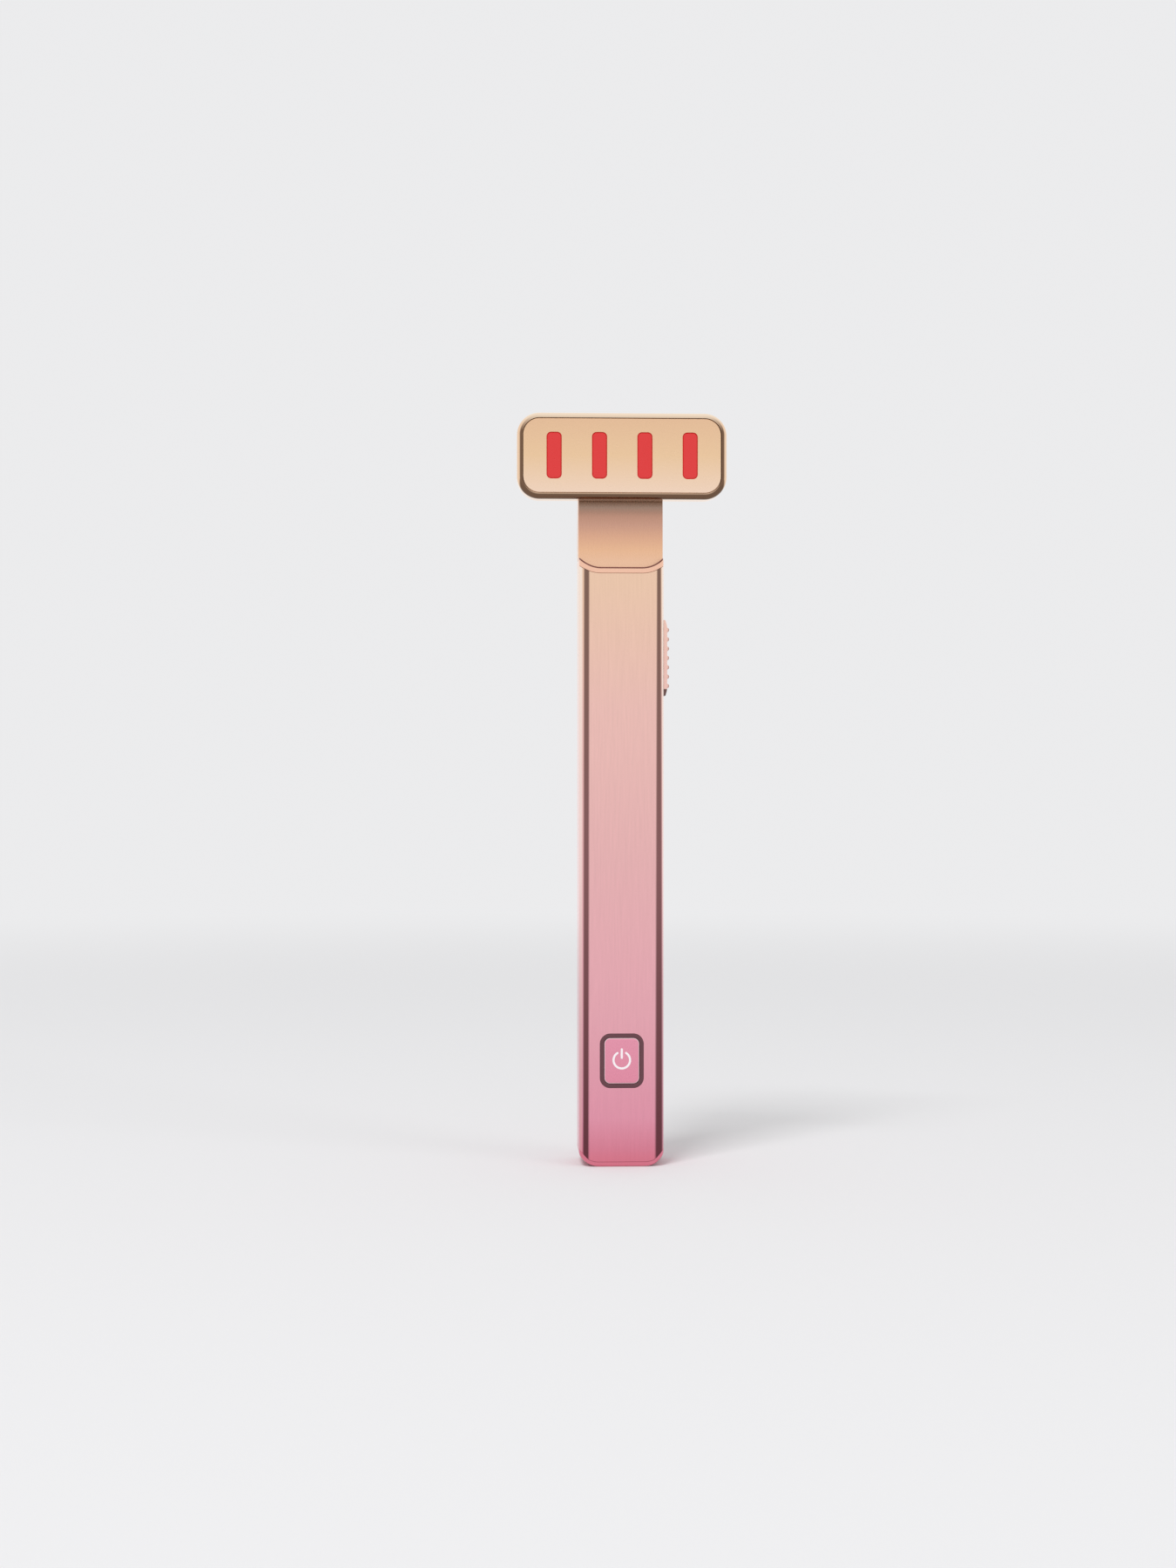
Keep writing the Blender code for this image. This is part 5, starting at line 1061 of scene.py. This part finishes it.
# Each look: its colour, least and most roughness, metallic, the grain's size and depth in mm and its
# stretch, and for some finishes other sockets
LOOKS = {
    "rose_satin_metal": (screen(230, 180, 180), (0.17, 0.22), 1, 0.25, 0.002, (1, 1, 0.3)),
    "rose_satin_cap_metal": (screen(230, 180, 180), (0.17, 0.22), 1, 0.25, 0.002, (1, 1, 0.3)),
    "peach_satin_metal": (screen(240, 193, 168), (0.17, 0.23), 1, 0.6, 0.001, (1, 1, 8)),
    # Painted shade: the dark strip under the neck
    "dark_shade_strip": (screen(122, 70, 62), (0.42, 0.58), 0, 0.4, 0.004, EVEN),
    "rose_button_metal": (screen(228, 155, 175), (0.25, 0.32), 1, 0.2, 0.002, EVEN),
    "bright_cut_edge": (screen(255, 236, 238), (0.1, 0.15), 1, 0.2, 0.001, EVEN),
    "smoked_ring_metal": (screen(112, 78, 84), (0.18, 0.26), 1, 0.3, 0.002, EVEN),
    "white_paint": (screen(250, 244, 246), (0.4, 0.5), 0, 0.3, 0.002, EVEN),
    "peach_slider_metal": (screen(236, 196, 184), (0.23, 0.3), 1, 0.2, 0.002, EVEN),
    "brushed_peach_coating": (screen(240, 196, 164), (0.21, 0.29), 1, 0.1, 0.0008, (1, 1, 0.02)),
    "brushed_peach_cover": (screen(250, 204, 168), (0.27, 0.35), 1, 0.1, 0.0008, (1, 1, 0.02)),
    "pale_gold_face": (screen(236, 206, 176), (0.27, 0.34), 1, 0.25, 0.002, (0.25, 1, 1)),
    "polished_bronze_shell": (screen(234, 200, 169), (0.1, 0.16), 1, 0.5, 0.001, EVEN),
    "lit_red_bar": (BAR_RED, (0.26, 0.36), 0, 0.5, 0.003, EVEN, LIT),
}


def noise(tree, size, stretch=EVEN, detail=GRAIN_DETAIL):
    """A noise over the stretched object coordinates; its spots have about this size in metres."""
    where = add_node(tree, "TexCoord", {}, "Object")
    vector = add_node(tree, "Mapping", {"Vector": where, "Scale": stretch})
    return add_node(tree, "TexNoise", {"Vector": vector, "Scale": 1 / size, "Detail": detail})


def surface(name, detail=GRAIN_DETAIL):
    """A material from its row in LOOKS, given to the pieces with this finish; gives back its tree.

    The grain is a noise that raises the surface, and the same grain turns the roughness up and down.
    """
    colour, roughness, metallic, size, depth, stretch, *others = LOOKS[name]
    made, tree, shader = material(name, {"Base Color": colour, "Metallic": metallic, **dict(*others)})
    grain = noise(tree, size * MM, stretch, detail)
    feed(tree, shader.inputs["Normal"], add_node(tree, "Bump", {"Height": grain, "Distance": depth * MM}))
    feed(tree, shader.inputs["Roughness"], between(tree, grain, *roughness))
    for target in FINISHES[name]:
        target.data.materials.append(made)
    return tree


def coloured(tree, colour):
    """Link a worked-out colour to the shader."""
    feed(tree, tree.nodes["Principled BSDF"].inputs["Base Color"], colour)


def ramp(tree, share, stops):
    """A colour from a ramp; each stop is its place on the share and its colour on a screen."""
    colours = tree.nodes.new("ShaderNodeValToRGB")
    elements = colours.color_ramp.elements
    while len(elements) < len(stops):
        elements.new(1.0)
    for element, (place, *colour) in zip(elements, stops):
        element.position = place
        element.color = screen(*colour)
    feed(tree, colours.inputs["Fac"], share)
    return colours.outputs["Color"]


def height_share(tree, low, high):
    """Nought to one from one height to another."""
    return between(tree, object_place(tree, "Z"), 0, 1, low, high)


def tinted(tree, base, pattern, darkest_share):
    """Link a colour to the shader, darkened to a share of itself where a pattern is low."""
    coloured(tree, mixed(tree, 1.0, base, between(tree, pattern, darkest_share, 1), blend_type="MULTIPLY"))


def within(tree, value, start, end, soft_share):
    """One where a value lies between two others; each end is soft over a share of the way across."""
    span = worked(tree, "SUBTRACT", end, start)
    share = worked(tree, "DIVIDE", worked(tree, "SUBTRACT", value, start), span)
    rising = between(tree, share, 0, 1, -soft_share, soft_share)
    falling = between(tree, share, 1, 0, 1 - soft_share, 1 + soft_share)
    return worked(tree, "MULTIPLY", rising, falling)


print("looks", len(LOOKS), "for", len(FINISHES), "finishes so far")

# %% [markdown]
# The handle is satin anodised metal. It is peach under the head and a deeper rose at the foot, so its
# colour is a ramp on height. Fine upright streaks break the tone a little. Along its front corners run a
# painted highlight strip and a painted dark reflection band, the way a soft studio light draws a round
# metal edge. A mirror would move them with the camera, so they are painted here by their distance from
# the flank, and stay put.

# %% Finish of the handle
# Each stop: its place on the way up the handle, and its colour
BODY_STOPS = [
    (0.015, 231, 134, 154), (0.03, 230, 140, 161), (0.08, 238, 160, 180), (0.24, 237, 173, 184),
    (0.50, 231, 179, 180), (0.76, 235, 190, 182), (0.97, 236, 200, 174),
]
# Painted reflections on the front corners: a dark band and a light highlight strip
DARK_REFLECTION_STOPS = [(0.0, 108, 60, 69), (0.5, 133, 92, 93), (1.0, 129, 101, 88)]
HIGHLIGHT_STOPS = [(0.0, 232, 160, 172), (0.5, 243, 212, 208), (1.0, 247, 228, 213)]
# Each painted reflection band: its side, where it starts from the flank at the foot and at the top, where it
# ends, its colours
PAINTED_REFLECTION_BANDS = [
    (-1, (-0.2 * MM, -0.2 * MM), (0.62 * MM, 0.7 * MM), HIGHLIGHT_STOPS),
    (1, (-0.2 * MM, -0.2 * MM), (0.22 * MM, 0.5 * MM), HIGHLIGHT_STOPS),
    (-1, (0.85 * MM, 1.1 * MM), (2.1 * MM, 2.23 * MM), DARK_REFLECTION_STOPS),
    (1, (0.3 * MM, 0.7 * MM), (2.0 * MM, 1.6 * MM), DARK_REFLECTION_STOPS),
]
BAND_SOFT_SHARE = 0.15
BAND_FADE = 0.9 * MM
STREAK_SIZE = 0.35 * MM
STREAK_STRETCH = (1, 1, 0.04)
STREAK_DARK_SHARE = 0.955


def painted_reflection_band(tree, side, starts, ends):
    """One on a painted reflection band along a front corner, between two distances from the flank; left is
    side -1.
    """
    x, y, z = [object_place(tree, axis) for axis in "XYZ"]
    from_flank = worked(tree, "MULTIPLY_ADD", x, -side, BODY_HALF)
    start, end = [between(tree, z, foot, top, 0, tube_high.z) for foot, top in (starts, ends)]
    in_front = between(tree, y, 1, 0, CORE_FRONT - BAND_FADE, CORE_FRONT)
    return worked(tree, "MULTIPLY", within(tree, from_flank, start, end, BAND_SOFT_SHARE), in_front)


for name, bands in (("rose_satin_metal", PAINTED_REFLECTION_BANDS), ("rose_satin_cap_metal", [])):
    tree = surface(name)
    height = height_share(tree, 0, tube_high.z)
    base = ramp(tree, height, BODY_STOPS)
    for side, starts, ends, stops in bands:
        base = mixed(tree, painted_reflection_band(tree, side, starts, ends), base, ramp(tree, height, stops))
    tinted(tree, base, noise(tree, STREAK_SIZE, STREAK_STRETCH, STREAK_DETAIL), STREAK_DARK_SHARE)
    print(name, len(tree.nodes), "nodes")

# %% [markdown]
# The collar, the dark strip of painted shade, the ring and the painted sign are plain finishes from the
# table. The button is a shade deeper than the handle, and its cut edge is bright: the faces of its rolled
# edge get a second material. They are the faces at the very front that look neither quite forwards nor
# backwards.

# %% Finishes of the collar, the ring and the button
BUTTON_STOPS = [(0.0, 234, 148, 171), (1.0, 236, 157, 179)]
BUTTON_SPAN = (17 * MM, 30 * MM)
CUT_EDGE_TURN = math.radians(3)

for name in ("peach_satin_metal", "dark_shade_strip", "smoked_ring_metal", "white_paint"):
    surface(name)
tree = surface("rose_button_metal")
coloured(tree, ramp(tree, height_share(tree, *BUTTON_SPAN), BUTTON_STOPS))

FINISHES["bright_cut_edge"] = [power_pad]
surface("bright_cut_edge")
pad_faces = power_pad.data.polygons
normals, middles = np.empty((2, len(pad_faces) * 3))
pad_faces.foreach_get("normal", normals)
pad_faces.foreach_get("center", middles)
on_edge = (middles[1::3] < button_low.y + BUTTON_EDGE) & (normals[1::3] > -math.cos(CUT_EDGE_TURN))
pad_faces.foreach_set("material_index", on_edge.astype(int))
print("bright edge faces", int(on_edge.sum()))

# %% [markdown]
# The slider is peach metal. Its rib tips are painted a little darker, as painted shade that lets the ribs
# be read from the front, and its lowest end is painted dark, as painted shade on its downward ramp. Both
# are painted by their place on the pad, so they ride with it.

# %% Finish of the slider
PAD_STOPS = [(0.0, 236, 193, 184), (1.0, 238, 198, 184)]
# Painted shade: the darker rib tips and the dark lowest end
RIB_PAINTED_SHADE = screen(150, 106, 98)
FOOT_PAINTED_SHADE = screen(112, 86, 82)
DARK_FOOT = 1.5 * MM
FOOT_TOP = slider_low.z + DARK_FOOT

tree = surface("peach_slider_metal")
rib_shade_share = between(tree, object_place(tree, "X"), 0, 1, slider_high.x - RIB_RISE, slider_high.x)
foot_shade_share = between(tree, object_place(tree, "Z"), 1, 0, FOOT_TOP - SEAM, FOOT_TOP + SEAM)
base = ramp(tree, height_share(tree, slider_low.z, slider_high.z), PAD_STOPS)
coloured(tree, mixed(tree, foot_shade_share, mixed(tree, rib_shade_share, base, RIB_PAINTED_SHADE), FOOT_PAINTED_SHADE))
print("slider nodes", len(tree.nodes))

# %% [markdown]
# The neck is coated and brushed: fine streaks run up and down it. Stretching the noise along Z draws the
# streaks. They set the bump, the roughness and a slight change of tone. Its front is painted darker towards
# the head, as painted shade where the head's shadow falls on it, and only the front is, so it has a ramp of
# its own.

# %% Finishes of the neck
NECK_STOPS = [(0.0, 240, 196, 164), (0.3, 226, 177, 148), (1.0, 226, 188, 162)]
LID_STOPS = [(0.0, 250, 204, 168), (1.0, 236, 194, 166)]
# Painted shade: the neck's front darkens towards the head
NECK_FRONT_SHADE_STOPS = [
    (0.03, 238, 194, 163), (0.11, 235, 187, 151), (0.20, 222, 172, 143), (0.28, 204, 157, 136),
    (0.34, 191, 146, 126), (0.37, 174, 135, 117), (0.40, 160, 133, 118), (0.44, 122, 98, 84),
]
BRUSHED_DARK_SHARE = 0.95

for name, stops in (("brushed_peach_coating", NECK_STOPS), ("brushed_peach_cover", LID_STOPS)):
    tree = surface(name, STREAK_DETAIL)
    streaks = tree.nodes["Noise Texture"].outputs[0]
    height = height_share(tree, tube_high.z, neck_high.z)
    base = ramp(tree, height, stops)
    if stops is NECK_STOPS:
        shaded_front_share = between(tree, object_place(tree, "Y"), 1, 0, NECK_FRONT + SEAM, SIDE_FRONT)
        base = mixed(tree, shaded_front_share, base, ramp(tree, height, NECK_FRONT_SHADE_STOPS))
    tinted(tree, base, streaks, BRUSHED_DARK_SHARE)
    print(name, len(tree.nodes), "nodes")

# %% [markdown]
# The light face is pale gold, warmer at its top. The head's shell is polished bronze, with a painted
# highlight along its top. A painted dark reflection follows its rim: all round the front but for the top,
# and broader below. Its place is the distance from the rounded outline, which is the corner's radius less
# the distance from the outline's straight core.

# %% Finishes of the head
FACE_STOPS = [(0.0, 241, 213, 191), (0.5, 235, 200, 162), (1.0, 229, 190, 155)]
# The bronze is painted lighter at its top: a painted highlight
BRONZE_TOP_HIGHLIGHT_STOPS = [(0.0, 234, 200, 169), (0.85, 234, 200, 169), (0.97, 242, 221, 197)]
# Painted reflection: the dark tone of the band along the rim
RIM_PAINTED_REFLECTION = screen(118, 91, 72)
# Where the painted dark reflection starts and ends from the outline, each below and then at the sides
RIM_STARTS = (-0.3 * MM, 0.62 * MM)
RIM_ENDS = (1.1 * MM, 1.45 * MM)
# The heights between which it changes from below to the sides, and between which it fades above
RIM_SIDES = (head_low.z + 1.2 * MM, head_low.z + 4.5 * MM)
RIM_FADES = (PIVOT + 5.5 * MM, PIVOT + 9.2 * MM)
RIM_BACK = (HEAD_FRONT + 1.2 * MM, HEAD_FRONT + 1.6 * MM)

tree = surface("pale_gold_face")
coloured(tree, ramp(tree, height_share(tree, plate_low.z, plate_high.z), FACE_STOPS))


def past_core(tree, value, half):
    """The square of how far a place lies past the core of a side, and nought on the core."""
    past = worked(tree, "SUBTRACT", worked(tree, "ABSOLUTE", value), half - HEAD_CORNER)
    return worked(tree, "POWER", worked(tree, "MAXIMUM", past, 0), 2)


tree = surface("polished_bronze_shell")
x, y, z = [object_place(tree, axis) for axis in "XYZ"]
past_sides = past_core(tree, x, HEAD_HALF)
past_ends = past_core(tree, worked(tree, "SUBTRACT", z, PIVOT), HEAD_HALF_HEIGHT)
from_core = worked(tree, "SQRT", worked(tree, "ADD", past_sides, past_ends))
from_outline = worked(tree, "SUBTRACT", HEAD_CORNER, from_core)
start, end = [between(tree, z, low, high, *RIM_SIDES) for low, high in (RIM_STARTS, RIM_ENDS)]
# Painted reflection: the dark band along the rim, kept off the top and the back
smoked = within(tree, from_outline, start, end, BAND_SOFT_SHARE)
for place, span in ((z, RIM_FADES), (y, RIM_BACK)):
    smoked = worked(tree, "MULTIPLY", smoked, between(tree, place, 1, 0, *span))
base = ramp(tree, height_share(tree, head_low.z, head_high.z), BRONZE_TOP_HIGHLIGHT_STOPS)
coloured(tree, mixed(tree, smoked, base, RIM_PAINTED_REFLECTION))
print("bronze nodes", len(tree.nodes))

# %% [markdown]
# The bars are lit from behind. They give a little light of their own over a dark red, so that they stay
# red under the room's light and don't burn out. The works inside keep their CAD solids and get plain
# finishes: turned and rolled steel, circuit boards, black moulded plastic, rubber, wire insulation and
# the battery's wrap. Large soft spots of a slightly darker tone keep them from looking painted.

# %% Finishes of the bars and the works inside
SPECKLE_SIZE = 3 * MM
SPECKLE_DARK_SHARE = 0.82
ROLLED = (1, 1, 0.1)
LIGHTS_PER_BAR = 2
LOOKS.update({
    "rolled_steel": (screen(196, 196, 200), (0.25, 0.35), 1, 0.3, 0.003, ROLLED),
    "spring_steel": (screen(168, 166, 164), (0.19, 0.29), 1, 0.5, 0.002, EVEN),
    "nickel_can": (screen(206, 204, 198), (0.15, 0.25), 1, 0.6, 0.002, ROLLED),
    "copper_film": (screen(205, 140, 88), (0.3, 0.4), 1, 0.5, 0.004, EVEN),
    "black_rubber": (screen(34, 33, 34), (0.7, 0.8), 0, 0.15, 0.01, EVEN),
    "green_board": (screen(24, 92, 58), (0.3, 0.4), 0, 0.3, 0.004, EVEN, {"Coat Weight": 0.3}),
    "white_board": (screen(232, 230, 224), (0.35, 0.45), 0, 0.3, 0.003, EVEN),
    "black_plastic": (screen(40, 40, 43), (0.45, 0.55), 0, 0.2, 0.006, EVEN),
    "natural_nylon": (screen(226, 222, 208), (0.4, 0.5), 0, 0.3, 0.004, EVEN),
    "battery_wrap": (screen(70, 108, 168), (0.25, 0.35), 0, 0.8, 0.006, EVEN, {"Coat Weight": 0.2}),
    "red_insulation": (screen(178, 32, 30), (0.4, 0.5), 0, 0.3, 0.003, EVEN),
    "black_insulation": (screen(30, 30, 32), (0.4, 0.5), 0, 0.3, 0.003, EVEN),
    "grey_insulation": (screen(128, 130, 134), (0.4, 0.5), 0, 0.3, 0.003, EVEN),
    "light_package": (PACKAGE_RED, (0.25, 0.35), 0, 0.3, 0.002, EVEN, LIT),
})
WORKS = {
    "rolled_steel": ["led_board_screw_left", "led_board_screw_right", "main_board_screw_lower",
                     "main_board_screw_upper", "pivot_shaft", "slide_switch_body", "tact_switch"],
    "spring_steel": ["wave_spring", "retaining_clip", "ground_spring"],
    "nickel_can": ["usb_shell", "vibration_motor", "eccentric_weight", "battery_tab_top",
                   "battery_tab_bottom"],
    "copper_film": ["heater_film"],
    "black_rubber": ["cap_seal", "head_seal", "motor_sleeve"],
    "green_board": ["main_board", "switch_board"],
    "white_board": ["led_board"],
    "black_plastic": ["usb_tongue", "inner_chassis", "tact_plunger", "slider_carriage"],
    "natural_nylon": ["friction_washer"],
    "battery_wrap": ["battery_cell"],
    "red_insulation": ["battery_lead_red"],
    "black_insulation": ["battery_lead_black", "head_cable"],
    "grey_insulation": ["switch_lead"],
    "light_package": [f"led_{count + 1}" for count in range(LIGHTS_PER_BAR * SLOT_COUNT)],
}

surface("lit_red_bar")
for name, targets in WORKS.items():
    FINISHES[name] = [nodes[target] for target in targets]
    for target in FINISHES[name]:
        target.data.materials.clear()
    tree = surface(name)
    tinted(tree, LOOKS[name][0], noise(tree, SPECKLE_SIZE), SPECKLE_DARK_SHARE)
print("works dressed", sum(len(targets) for targets in WORKS.values()))
